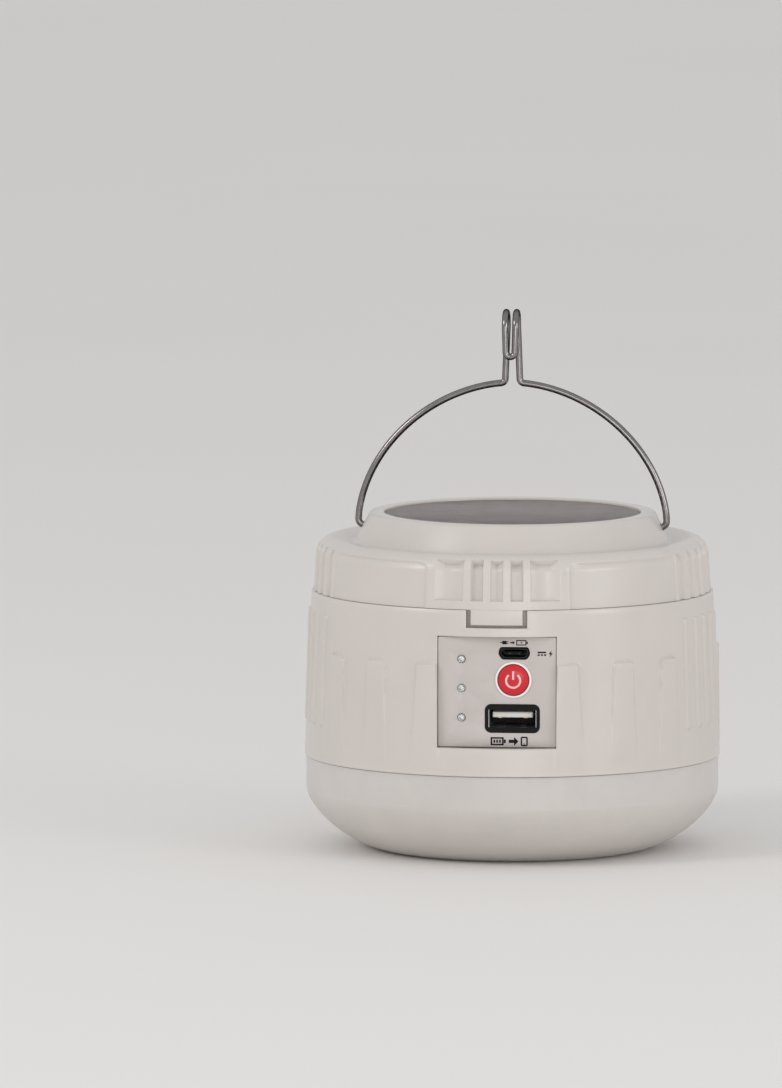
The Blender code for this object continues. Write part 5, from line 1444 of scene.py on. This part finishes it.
def handling_group():
    """Smudges from handling and light rubbing: a roughness that changes over the piece."""
    tree, given, out = new_group("handling", [
        ("Roughness", 'NodeSocketFloat', 0.4), ("Amount", 'NodeSocketFloat', 0.1)], [
        ("Roughness", 'NodeSocketFloat'), ("Smudge", 'NodeSocketFloat')])
    smear = noise(tree, 55.0, 4.0, 0.6, distortion=0.8)
    prints = noise(tree, 210.0, 3.0, 0.65)
    mask = times(tree, remap(tree, smear, 0.42, 0.68), remap(tree, prints, 0.35, 0.6))
    change = times(tree, mask, given.outputs['Amount'])
    tree.links.new(maths(tree, 'ADD', given.outputs['Roughness'], change),
                   out.inputs['Roughness'])
    tree.links.new(mask, out.inputs['Smudge'])
    return tree


def dust_group():
    """Dust that settles on faces that look up: a colour and its mask."""
    tree, given, out = new_group("settled_dust", [
        ("Color", 'NodeSocketColor', (0.5, 0.5, 0.5, 1.0)),
        ("Dust", 'NodeSocketColor', (0.55, 0.52, 0.47, 1.0)),
        ("Amount", 'NodeSocketFloat', 0.2)], [
        ("Color", 'NodeSocketColor'), ("Mask", 'NodeSocketFloat')])
    normal = tree.nodes.new('ShaderNodeNewGeometry').outputs['Normal']
    up = node(tree, 'ShaderNodeSeparateXYZ', {0: normal}).outputs['Z']
    patches = remap(tree, noise(tree, 130.0, 5.0, 0.7), 0.38, 0.75)
    mask = times(tree, remap(tree, up, 0.25, 0.95), patches)
    mask = times(tree, mask, given.outputs['Amount'])
    colour_out = blend_colour(tree, mask, given.outputs['Color'], given.outputs['Dust'])
    tree.links.new(colour_out, out.inputs['Color'])
    tree.links.new(mask, out.inputs['Mask'])
    return tree


def edge_wear_and_highlight_group():
    """Raised edges shifted towards another colour, real wear on the button's mark and a painted
    highlight on the casing: the colour and its mask.
    """
    tree, given, out = new_group("edge_wear", [
        ("Color", 'NodeSocketColor', (0.5, 0.5, 0.5, 1.0)),
        ("Rubbed", 'NodeSocketColor', (0.8, 0.8, 0.8, 1.0)),
        ("Amount", 'NodeSocketFloat', 0.3)], [
        ("Color", 'NodeSocketColor'), ("Mask", 'NodeSocketFloat')])
    pointed = tree.nodes.new('ShaderNodeNewGeometry').outputs['Pointiness']
    edge = remap(tree, pointed, 0.51, 0.57)
    broken = remap(tree, noise(tree, 900.0, 3.0, 0.6), 0.35, 0.6)
    mask = times(tree, times(tree, edge, broken), given.outputs['Amount'])
    tree.links.new(blend_colour(tree, mask, given.outputs['Color'], given.outputs['Rubbed']),
                   out.inputs['Color'])
    tree.links.new(mask, out.inputs['Mask'])
    return tree


def drawn_lines_group():
    """Fine lines that drawing and rolling leave in metal: a height and a roughness."""
    tree, given, out = new_group("drawn_lines", [
        ("Stretch", 'NodeSocketVector', (1.0, 1.0, 1.0)),
        ("Roughness", 'NodeSocketFloat', 0.2), ("Amount", 'NodeSocketFloat', 0.1)], [
        ("Height", 'NodeSocketFloat'), ("Roughness", 'NodeSocketFloat')])
    stretched = node(tree, 'ShaderNodeVectorMath', {0: spot(tree), 1: given.outputs['Stretch']},
                     operation='MULTIPLY').outputs[0]
    lines = noise(tree, 1.0, 4.0, 0.7, vector=stretched)
    tree.links.new(lines, out.inputs['Height'])
    stains = remap(tree, noise(tree, 160.0, 4.0, 0.6), 0.4, 0.7)
    wander = maths(tree, 'ADD', times(tree, lines, 0.6), times(tree, stains, 0.6))
    change = times(tree, wander, given.outputs['Amount'])
    tree.links.new(maths(tree, 'ADD', given.outputs['Roughness'], change),
                   out.inputs['Roughness'])
    return tree


EFFECTS = {}
EFFECT_MAKERS = {"moulded_grain": moulded_grain_group, "handling": handling_group,
                 "settled_dust": dust_group, "edge_wear": edge_wear_and_highlight_group,
                 "drawn_lines": drawn_lines_group}


def effect(tree, name, **values):
    """Place a shared effect in a material with this material's own values."""
    if name not in EFFECTS:
        EFFECTS[name] = EFFECT_MAKERS[name]()
    made = tree.nodes.new('ShaderNodeGroup')
    made.node_tree = EFFECTS[name]
    for label, value in values.items():
        give(tree, made.inputs[label], value)
    return made.outputs


# ================================================================ finishes
FINISHES = {}


def opaque(rgb):
    return (*rgb, 1.0)


def start_finish(name, **plain):
    """A new material and its Principled shader with plain values on its sockets."""
    made = bpy.data.materials.new(name)
    made.use_nodes = True
    shader = made.node_tree.nodes['Principled BSDF']
    for label, value in plain.items():
        shader.inputs[label.replace('_', ' ')].default_value = value
    FINISHES[name] = made
    return made.node_tree, shader


def feed(tree, shader, **values):
    """Link values to the shader's sockets."""
    for label, value in values.items():
        tree.links.new(value, shader.inputs[label.replace('_', ' ')])


def bump(tree, shader, height, depth):
    """Feed a height to the shader's normal; depth is in metres."""
    made = node(tree, 'ShaderNodeBump', {'Strength': 1.0, 'Distance': depth, 'Height': height})
    feed(tree, shader, Normal=made.outputs['Normal'])


def moulded(name, rgb, roughness, grain=2600.0, depth=0.012 * MM, drift=0.04, smudge=0.12,
            dust=0.10, wear_and_highlight=0.0, rubbed_and_lit=None, **plain):
    """Moulded plastic: grain, a slow drift of its colour, smudges, dust and edges shifted to
    another colour, which is real wear on the button's mark and a painted highlight on the casing.
    """
    tree, shader = start_finish(name, **plain)
    texture = effect(tree, "moulded_grain", Scale=grain)
    darker = opaque([part * (1 - drift) for part in rgb])
    lighter = opaque([min(1.0, part * (1 + drift)) for part in rgb])
    base = blend_colour(tree, texture['Mottle'], darker, lighter)
    if wear_and_highlight:
        base = effect(tree, "edge_wear", Color=base, Rubbed=opaque(rubbed_and_lit or rgb),
                      Amount=wear_and_highlight)['Color']
    if dust:
        base = effect(tree, "settled_dust", Color=base, Amount=dust)['Color']
    handled = effect(tree, "handling", Roughness=roughness, Amount=smudge)
    feed(tree, shader, Base_Color=base, Roughness=handled['Roughness'])
    bump(tree, shader, texture['Height'], depth)
    return tree, shader


def metal(name, rgb, roughness, stretch, amount=0.12, depth=0.004 * MM, tint=None):
    """Metal with drawn lines and faint stains."""
    tree, shader = start_finish(name, Metallic=1.0)
    lines = effect(tree, "drawn_lines", Stretch=stretch, Roughness=roughness, Amount=amount)
    stain = remap(tree, noise(tree, 240.0, 4.0, 0.6), 0.35, 0.72)
    darker = opaque(tint or [part * 0.82 for part in rgb])
    base = blend_colour(tree, stain, opaque(rgb), darker)
    feed(tree, shader, Base_Color=base, Roughness=lines['Roughness'])
    bump(tree, shader, lines['Height'], depth)
    return tree, shader


def casing_finish(colours):
    # The casing's raised edges are lightened a little: a painted highlight along them.
    moulded("white_abs", colours.casing, 0.30, depth=0.010 * MM, drift=0.02, dust=0.12,
            wear_and_highlight=0.25, rubbed_and_lit=[min(1.0, part * 1.12) for part in colours.casing],
            Specular_IOR_Level=0.5, Coat_Weight=0.12, Coat_Roughness=0.2)


def diffuser_finish(colours):
    """Frosted polycarbonate: light gets into it, and its skin is evenly matt."""
    _, shader = moulded("frosted_diffuser", colours.diffuser, 0.42, grain=5200.0,
                           depth=0.006 * MM, drift=0.025, dust=0.0, smudge=0.10,
                           Subsurface_Weight=0.55, Subsurface_Scale=0.003)
    shader.inputs['Subsurface Radius'].default_value = (1.0, 0.96, 0.92)


def panel_finishes(colours):
    moulded("panel_abs", colours.panel, 0.38, grain=3400.0, depth=0.014 * MM, drift=0.03,
            dust=0.05)
    moulded("button_red", colours.button, 0.26, grain=3000.0, depth=0.005 * MM, drift=0.05,
            dust=0.0, Coat_Weight=0.25, Coat_Roughness=0.12, Specular_IOR_Level=0.3)
    # Ring round the button, made paler than the casing as a partly painted highlight.
    moulded("ring_white", colours.ring, 0.3, grain=4200.0, depth=0.004 * MM, drift=0.02,
            dust=0.0)
    moulded("button_mark", colours.mark, 0.4, depth=0.004 * MM, dust=0.0, wear_and_highlight=0.3,
            rubbed_and_lit=colours.button)
    moulded("panel_print", colours.print, 0.5, grain=5200.0, depth=0.003 * MM, drift=0.3,
            dust=0.0, Specular_IOR_Level=0.12)
    moulded("black_plastic", (0.006, 0.005, 0.006), 0.46, grain=4200.0, depth=0.010 * MM,
            drift=0.25, dust=0.01, Specular_IOR_Level=0.16)
    moulded("port_insert", (0.72, 0.70, 0.66), 0.42, grain=4200.0, depth=0.006 * MM, dust=0.05)


def metal_finishes(colours):
    # Dark base colour and dark grazing tint: painted dark reflections along the bail's wire.
    _, shader = metal("bail_steel", colours.steel, 0.12, (90.0, 900.0, 90.0), 0.10,
                         0.003 * MM)
    shader.inputs['Specular Tint'].default_value = (0.10, 0.09, 0.09, 1.0)
    metal("screw_steel", (0.36, 0.35, 0.34), 0.28, (1400.0, 1400.0, 120.0))
    metal("port_tin", (0.40, 0.39, 0.39), 0.3, (240.0, 2600.0, 240.0))
    # Near-black metal of the charge inlet's sleeve: painted shade over its tin.
    metal("inlet_steel", (0.045, 0.040, 0.050), 0.34, (240.0, 2600.0, 240.0))
    metal("nickel_strip", (0.58, 0.55, 0.50), 0.26, (2200.0, 160.0, 2200.0))
    metal("contact_gold", (0.80, 0.56, 0.24), 0.2, (300.0, 2600.0, 300.0),
          tint=(0.62, 0.42, 0.16))
    metal("silver_bar", (0.70, 0.69, 0.66), 0.34, (2600.0, 220.0, 2600.0))
    metal("lamp_leg", (0.55, 0.54, 0.52), 0.25, (900.0, 200.0, 900.0))


def silicon_finish(colours):
    """Polycrystalline silicon: flakes of slightly different colour and fine silver fingers."""
    tree, shader = start_finish("solar_cells", Specular_IOR_Level=0.6)
    flakes = node(tree, 'ShaderNodeTexVoronoi', {'Vector': spot(tree), 'Scale': 420.0})
    grains = node(tree, 'ShaderNodeTexVoronoi', {'Vector': spot(tree), 'Scale': 1500.0})
    shade = node(tree, 'ShaderNodeSeparateColor', {0: flakes.outputs['Color']}).outputs[0]
    speck = node(tree, 'ShaderNodeSeparateColor', {0: grains.outputs['Color']}).outputs[0]
    dark = opaque([part * 0.55 for part in colours.silicon])
    light = opaque([part * 1.9 for part in colours.silicon])
    base = blend_colour(tree, shade, dark, light)
    base = blend_colour(tree, times(tree, speck, 0.35), base,
                        opaque([part * 3.2 for part in colours.silicon]))
    along = node(tree, 'ShaderNodeSeparateXYZ', {0: spot(tree)}).outputs['Y']
    wave = maths(tree, 'FRACT', times(tree, along, 1 / (1.6 * MM)))
    finger = maths(tree, 'LESS_THAN', wave, 0.07)
    base = blend_colour(tree, times(tree, finger, 0.8), base,
                        opaque((0.42, 0.41, 0.40)))
    feed(tree, shader, Base_Color=base, Roughness=remap(tree, shade, 0.0, 1.0, 0.22, 0.42))
    bump(tree, shader, speck, 0.006 * MM)


def pane_finish():
    """Cast resin pane over the cells: clear, speckled and not quite flat."""
    tree, shader = start_finish("solar_pane", Transmission_Weight=1.0, IOR=1.14,
                                Specular_Tint=(1.0, 0.86, 0.82, 1.0))
    base = blend_colour(tree, remap(tree, noise(tree, 2400.0, 3.0, 0.7), 0.35, 0.65),
                        opaque((0.50, 0.45, 0.44)), opaque((0.80, 0.74, 0.72)))
    handled = effect(tree, "handling", Roughness=0.40, Amount=0.12)
    feed(tree, shader, Base_Color=base, Roughness=handled['Roughness'])
    swell = maths(tree, 'ADD', noise(tree, 300.0, 2.0, 0.5),
                  times(tree, noise(tree, 2600.0, 2.0, 0.6), 0.5))
    bump(tree, shader, swell, 0.05 * MM)


def lens_finish():
    """Clear resin of an indicator's lens."""
    tree, shader = start_finish("clear_led", Transmission_Weight=0.6, IOR=1.5)
    haze = noise(tree, 900.0, 3.0, 0.6)
    base = blend_colour(tree, remap(tree, haze, 0.35, 0.65), opaque((0.90, 0.92, 0.93)),
                        opaque((0.98, 0.98, 0.98)))
    feed(tree, shader, Base_Color=base, Roughness=remap(tree, haze, 0.3, 0.7, 0.05, 0.16))
    bump(tree, shader, haze, 0.004 * MM)


def board_finish():
    """Green solder mask over copper tracks, with tinned pads and white legend specks."""
    tree, shader = start_finish("board_green", Specular_IOR_Level=0.6)
    tracks = node(tree, 'ShaderNodeTexBrick',
                  {'Vector': spot(tree), 'Scale': 300.0, 'Mortar Size': 0.03,
                   'Color1': opaque((0.0, 0.0, 0.0)), 'Color2': opaque((0.0, 0.0, 0.0)),
                   'Mortar': opaque((1.0, 1.0, 1.0))}).outputs['Color']
    pads = node(tree, 'ShaderNodeTexVoronoi', {'Vector': spot(tree), 'Scale': 330.0})
    pad = maths(tree, 'LESS_THAN', pads.outputs['Distance'], 0.16)
    mask = effect(tree, "moulded_grain", Scale=1800.0)
    base = blend_colour(tree, mask['Mottle'], opaque((0.010, 0.085, 0.030)),
                        opaque((0.016, 0.115, 0.045)))
    base = blend_colour(tree, tracks, base, opaque((0.03, 0.20, 0.07)))
    base = blend_colour(tree, times(tree, pad, 0.85), base,
                        opaque((0.55, 0.54, 0.50)))
    base = effect(tree, "settled_dust", Color=base, Amount=0.15)['Color']
    handled = effect(tree, "handling", Roughness=0.3, Amount=0.15)
    feed(tree, shader, Base_Color=base, Roughness=handled['Roughness'])
    bump(tree, shader, maths(tree, 'ADD', mask['Height'], pad), 0.02 * MM)


def works_finishes():
    """Finishes of the pieces inside the casing."""
    moulded("foam_seal", (0.03, 0.03, 0.03), 0.9, grain=1500.0, depth=0.12 * MM, drift=0.35,
            dust=0.1, smudge=0.0)
    moulded("lamp_board", (0.74, 0.74, 0.72), 0.4, grain=2200.0, depth=0.008 * MM)
    moulded("led_phosphor", (0.80, 0.66, 0.16), 0.4, grain=5200.0, depth=0.02 * MM, drift=0.12,
            dust=0.0, Subsurface_Weight=0.2, Subsurface_Scale=0.0006)
    moulded("lead_red", (0.50, 0.02, 0.02), 0.36, grain=3000.0, dust=0.08)
    moulded("lead_black", (0.02, 0.02, 0.02), 0.36, grain=3000.0, dust=0.08)
    board_finish()
    wrap_finish()


def wrap_finish():
    """Shrink wrap of a cell: a tight film with faint creases near its ends."""
    tree, shader = moulded("cell_wrap", (0.03, 0.13, 0.36), 0.24, grain=1400.0,
                           depth=0.004 * MM, drift=0.10, Coat_Weight=0.4, Coat_Roughness=0.15)
    across = node(tree, 'ShaderNodeSeparateXYZ', {0: spot(tree)}).outputs['X']
    near_end = remap(tree, maths(tree, 'ABSOLUTE', across), 27.0 * MM, 32.0 * MM)
    creases = times(tree, near_end, noise(tree, 700.0, 4.0, 0.6, distortion=1.5))
    bump(tree, shader, creases, 0.15 * MM)


def floor_finish(colours):
    tree, shader = start_finish("stage_floor", Specular_IOR_Level=0.2)
    base = blend_colour(tree, remap(tree, noise(tree, 3.0, 3.0, 0.5), 0.3, 0.7),
                        opaque([part * 0.985 for part in colours.floor]),
                        opaque(colours.floor))
    feed(tree, shader, Base_Color=base)
    shader.inputs['Roughness'].default_value = 0.75


# ================================================================ operators
class LANTERN_OT_finishes(bpy.types.Operator):
    """Make every finish and the shared effects they use"""
    bl_idname = "lantern.finishes"
    bl_label = "Finishes"

    def execute(self, context):
        colours = context.scene.lantern_colours
        for make in (casing_finish, diffuser_finish, panel_finishes, metal_finishes,
                     silicon_finish):
            make(colours)
        for make in (pane_finish, lens_finish, works_finishes):
            make()
        return {'FINISHED'}


class LANTERN_OT_diffuser(bpy.types.Operator):
    """Frosted bowl that the lantern stands on"""
    bl_idname = "lantern.diffuser"
    bl_label = "Diffuser"

    def execute(self, context):
        piece("diffuser_bowl", diffuser_shape(context.scene.lantern_casing),
              "frosted_diffuser", "frosted_diffuser", "diffuser")
        return {'FINISHED'}


class LANTERN_OT_housing(bpy.types.Operator):
    """Housing with its fins, grip ribs, panel opening and screw posts"""
    bl_idname = "lantern.housing"
    bl_label = "Housing"

    def execute(self, context):
        scene = context.scene
        shape = housing_shape(scene.lantern_casing, scene.lantern_panel)
        low = FLOOR_HIGH - POST_SINK
        high = FLOOR_HIGH + POST_HEIGHT
        for number in (1, 2, 3):
            add_post(shape, number, (low, high), POST_RADIUS, (low, high), POST_BORE)
        piece("housing_shell", shape, "white_abs", "white_abs", "housing")
        return {'FINISHED'}


class LANTERN_OT_cover(bpy.types.Operator):
    """Top cover with its pockets, flutes, collar, pivot holes and front tab"""
    bl_idname = "lantern.cover"
    bl_label = "Top cover"

    def execute(self, context):
        sizes = context.scene.lantern_casing
        shape = cover_shape(sizes, context.scene.lantern_bail.wire)
        add_tab(shape, sizes)
        low = FLOOR_HIGH + POST_HEIGHT + GAP
        roof = SEAM_HIGH + sizes.cover_height - sizes.wall
        for number in (1, 2, 3):
            add_post(shape, number, (low, roof + 0.5 * MM), BOSS_RADIUS,
                     (low, roof + 0.4 * MM), BOSS_BORE)
        piece("cover_shell", shape, "white_abs", "white_abs", "top_cover")
        return {'FINISHED'}


class LANTERN_OT_solar_lid(bpy.types.Operator):
    """Solar lid: pane, cell strips with their silver bars, backing and seal"""
    bl_idname = "lantern.solar_lid"
    bl_label = "Solar lid"

    def execute(self, context):
        sizes = context.scene.lantern_lid
        piece("solar_glazing", pane_shape(), "solar_pane", "solar_pane", "solar_pane")
        piece("cell_strips", wafers_shape(sizes), "solar_cells", "solar_cells", "solar_cells")
        piece("cell_bars", bars_shape(sizes), "silver_bar", "nickel_strip")
        refinish("solar_backing", "lamp_board")
        refinish("solar_seal", "foam_seal")
        return {'FINISHED'}


class LANTERN_OT_bail(bpy.types.Operator):
    """Wire bail with the hook bent at its top"""
    bl_idname = "lantern.bail"
    bl_label = "Bail"

    def execute(self, context):
        sizes = context.scene.lantern_bail
        right = [point + Vector((0, 0, PIVOT_Z)) for point in bail_path(sizes)]
        left = [Vector((-point.x, point.y, point.z)) for point in right[:-1]]
        piece("bail_wire", wire_shape(right + left[::-1], sizes.wire), "bail_steel",
              "bail_steel", "bail_handle", body="bail", sharp=60.0)
        return {'FINISHED'}


class LANTERN_OT_panel(bpy.types.Operator):
    """Control panel's plate and the signs printed on it"""
    bl_idname = "lantern.panel"
    bl_label = "Control panel"

    def execute(self, context):
        piece("panel_plate", panel_shape(context.scene.lantern_panel), "panel_abs",
              "panel_abs", "control_panel")
        piece("panel_signs", marks_shape(), "panel_print", "black_plastic")
        return {'FINISHED'}


class LANTERN_OT_button(bpy.types.Operator):
    """Power button, its raised symbol and the switch behind it"""
    bl_idname = "lantern.button"
    bl_label = "Power button"

    def execute(self, context):
        sizes = context.scene.lantern_panel
        piece("button_cap", cap_shape(sizes), "button_red", "button_red", "power_button",
              body="button")
        piece("button_ring", ring_shape(sizes), "ring_white", "white_abs")
        piece("button_symbol", power_mark_shape(sizes), "button_mark", "button_red",
              body="button")
        refinish("switch_", "black_plastic")
        return {'FINISHED'}


class LANTERN_OT_sockets(bpy.types.Operator):
    """USB outlet and charge inlet with their sleeves, inserts and contacts"""
    bl_idname = "lantern.sockets"
    bl_label = "Sockets"

    def execute(self, context):
        piece("outlet_sleeve", outlet_sleeve_shape(), "port_tin", "port_tin", "usb_a_shell")
        piece("outlet_tongue", outlet_tongue_shape(), "port_insert", "port_insert",
              "usb_a_insert")
        piece("outlet_back", outlet_back_shape(), "black_plastic", "black_plastic")
        face = OUTLET_AT.z + OUTLET_TONGUE_RISE - 0.79 * MM
        contacts = contacts_shape(OUTLET_AT.x, 2.3 * MM, 4, 1.1 * MM, face,
                                  OUTLET_LOW.y + 1.5 * MM, 6.2 * MM, 0.2 * MM)
        piece("outlet_contacts", contacts, "contact_gold", "nickel_strip")
        # A black surround that paints the shade in the outlet's opening and over the sleeve's upper
        # and lower edges.
        piece("outlet_surround", painted_shade_surround_shape(context.scene.lantern_panel),
              "black_plastic", "black_plastic", "usb_a_gasket")
        # The inlet's sleeve takes the near-black metal, which is painted shade in its opening.
        piece("inlet_sleeve", inlet_sleeve_shape(), "inlet_steel", "port_tin",
              "micro_usb_shell")
        piece("inlet_insert", inlet_insert_shape(), "black_plastic", "black_plastic",
              "micro_usb_insert")
        face = INLET_AT.z + INLET_TONGUE_RISE - 0.32 * MM
        contacts = contacts_shape(INLET_AT.x, 0.65 * MM, 5, 0.36 * MM, face,
                                  INLET_LOW.y + 1.0 * MM, 3.4 * MM, 0.09 * MM)
        piece("inlet_contacts", contacts, "contact_gold", "nickel_strip")
        return {'FINISHED'}


class LANTERN_OT_indicators(bpy.types.Operator):
    """Three indicator lamps: lens, reflector cup and legs"""
    bl_idname = "lantern.indicators"
    bl_label = "Indicators"

    def execute(self, context):
        sizes = context.scene.lantern_panel
        for number, name in enumerate(INDICATORS, 1):
            at, back = middle(name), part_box(name)[1].y
            piece(f"indicator_lens_{number}", lens_shape(sizes, at), "clear_led",
                  "clear_led", name)
            piece(f"indicator_works_{number}", lamp_works_shape(sizes, at, back),
                  "lamp_leg", "nickel_strip")
        return {'FINISHED'}


WORKS = {"control_board": "board_green", "charge_board": "board_green",
         "board_header": "black_plastic", "power_inductor": "black_plastic",
         "controller_chip": "black_plastic", "battery_tray": "black_plastic",
         "battery_cell": "cell_wrap", "cell_link": "nickel_strip", "led_board": "lamp_board",
         "led_chip": "led_phosphor", "cover_screw": "screw_steel",
         "led_board_screw": "screw_steel", "tray_screw": "screw_steel",
         "board_screw": "screw_steel"}
LEADS = ("battery", "solar", "led")


class LANTERN_OT_works(bpy.types.Operator):
    """Finishes of the boards, battery, lamp board, screws and leads inside"""
    bl_idname = "lantern.works"
    bl_label = "Works inside"

    def execute(self, context):
        for prefix, finish in WORKS.items():
            refinish(prefix, finish)
        for pair in LEADS:
            for finish in ("lead_red", "lead_black"):
                refinish(f"{pair}_{finish}", finish)
        return {'FINISHED'}


def area_light(name, place, aim, size, power, tone):
    """A soft square light that looks at a point."""
    data = bpy.data.lights.new(name, 'AREA')
    data.shape = 'SQUARE'
    data.size = size
    data.energy = power
    data.color = tone
    made = bpy.data.objects.new(name, data)
    made.location = place
    made.rotation_euler = (Vector(aim) - Vector(place)).to_track_quat('-Z', 'Y').to_euler()
    bpy.context.scene.collection.objects.link(made)


def light_stage(scene, settings):
    """A bright world with a key, a fill and a low frontal light."""
    world = bpy.data.worlds.new("studio")
    world.use_nodes = True
    background = world.node_tree.nodes['Background']
    background.inputs['Color'].default_value = (0.97, 0.98, 1.0, 1.0)
    background.inputs['Strength'].default_value = settings.world
    scene.world = world
    scene.view_settings.view_transform = 'Standard'
    centre = (0.0, 0.0, 0.06)
    area_light("key", (-1.25, -0.95, 0.95), centre, 0.5, settings.key, (1.0, 0.985, 0.96))
    area_light("fill", (1.35, -0.9, 0.42), centre, 0.6, settings.fill, (1.0, 0.99, 0.98))
    area_light("low", (0.2, -1.5, 0.06), (0.0, 0.0, 0.03), 0.6, settings.low, (1.0, 1.0, 1.0))


def aim_camera(scene, settings):
    """Camera at the settings' angles, with the lantern right of the view's middle."""
    turn, rise = settings.azimuth, settings.elevation
    back = Vector((math.sin(turn) * math.cos(rise), -math.cos(turn) * math.cos(rise),
                   math.sin(rise)))
    right = Vector((math.cos(turn), math.sin(turn), 0.0))
    aim = Vector((0.0, 0.0, settings.aim_height)) - right * settings.aim_side
    data = bpy.data.cameras.new("view")
    data.sensor_width = 36.0
    data.lens = settings.lens
    data.clip_start, data.clip_end = 0.1, 50.0
    camera = bpy.data.objects.new("view", data)
    camera.location = aim + back * settings.distance
    camera.rotation_euler = (-back).to_track_quat('-Z', 'Y').to_euler()
    scene.collection.objects.link(camera)
    scene.camera = camera


class LANTERN_OT_stage(bpy.types.Operator):
    """Pale floor, soft studio light and the camera"""
    bl_idname = "lantern.stage"
    bl_label = "Stage"

    def execute(self, context):
        scene = context.scene
        settings = scene.lantern_stage
        half = settings.floor_half
        floor_mesh = bpy.data.meshes.new("stage_floor")
        floor_mesh.from_pydata([(-half, -half, 0), (half, -half, 0), (half, half, 0),
                                (-half, half, 0)], [], [(0, 1, 2, 3)])
        floor = bpy.data.objects.new("stage_floor", floor_mesh)
        scene.collection.objects.link(floor)
        floor_finish(scene.lantern_colours)
        floor_mesh.materials.append(FINISHES["stage_floor"])
        light_stage(scene, settings)
        aim_camera(scene, settings)
        return {'FINISHED'}


STEPS = [LANTERN_OT_finishes, LANTERN_OT_diffuser, LANTERN_OT_housing, LANTERN_OT_cover,
         LANTERN_OT_solar_lid, LANTERN_OT_bail, LANTERN_OT_panel, LANTERN_OT_button,
         LANTERN_OT_sockets, LANTERN_OT_indicators, LANTERN_OT_works, LANTERN_OT_stage]


class LANTERN_PT_steps(bpy.types.Panel):
    """The lantern's pieces in the order they are built"""
    bl_idname = "LANTERN_PT_steps"
    bl_label = "Solar Lantern"
    bl_space_type = 'VIEW_3D'
    bl_region_type = 'UI'
    bl_category = "Lantern"

    def draw(self, context):
        for step in STEPS:
            self.layout.operator(step.bl_idname)
        for attribute, group in GROUPS.items():
            box = self.layout.box()
            for name in group.__annotations__:
                box.prop(getattr(context.scene, attribute), name)


def register():
    for group in GROUPS.values():
        bpy.utils.register_class(group)
    for step in [*STEPS, LANTERN_PT_steps]:
        bpy.utils.register_class(step)
    for attribute, group in GROUPS.items():
        setattr(bpy.types.Scene, attribute, PointerProperty(type=group))


def unregister():
    for attribute in GROUPS:
        delattr(bpy.types.Scene, attribute)
    for kind in [LANTERN_PT_steps, *reversed(STEPS), *reversed(GROUPS.values())]:
        bpy.utils.unregister_class(kind)


def main():
    register()
    for step in STEPS:
        area, name = step.bl_idname.split(".")
        getattr(getattr(bpy.ops, area), name)()


if __name__ == "__main__":
    main()
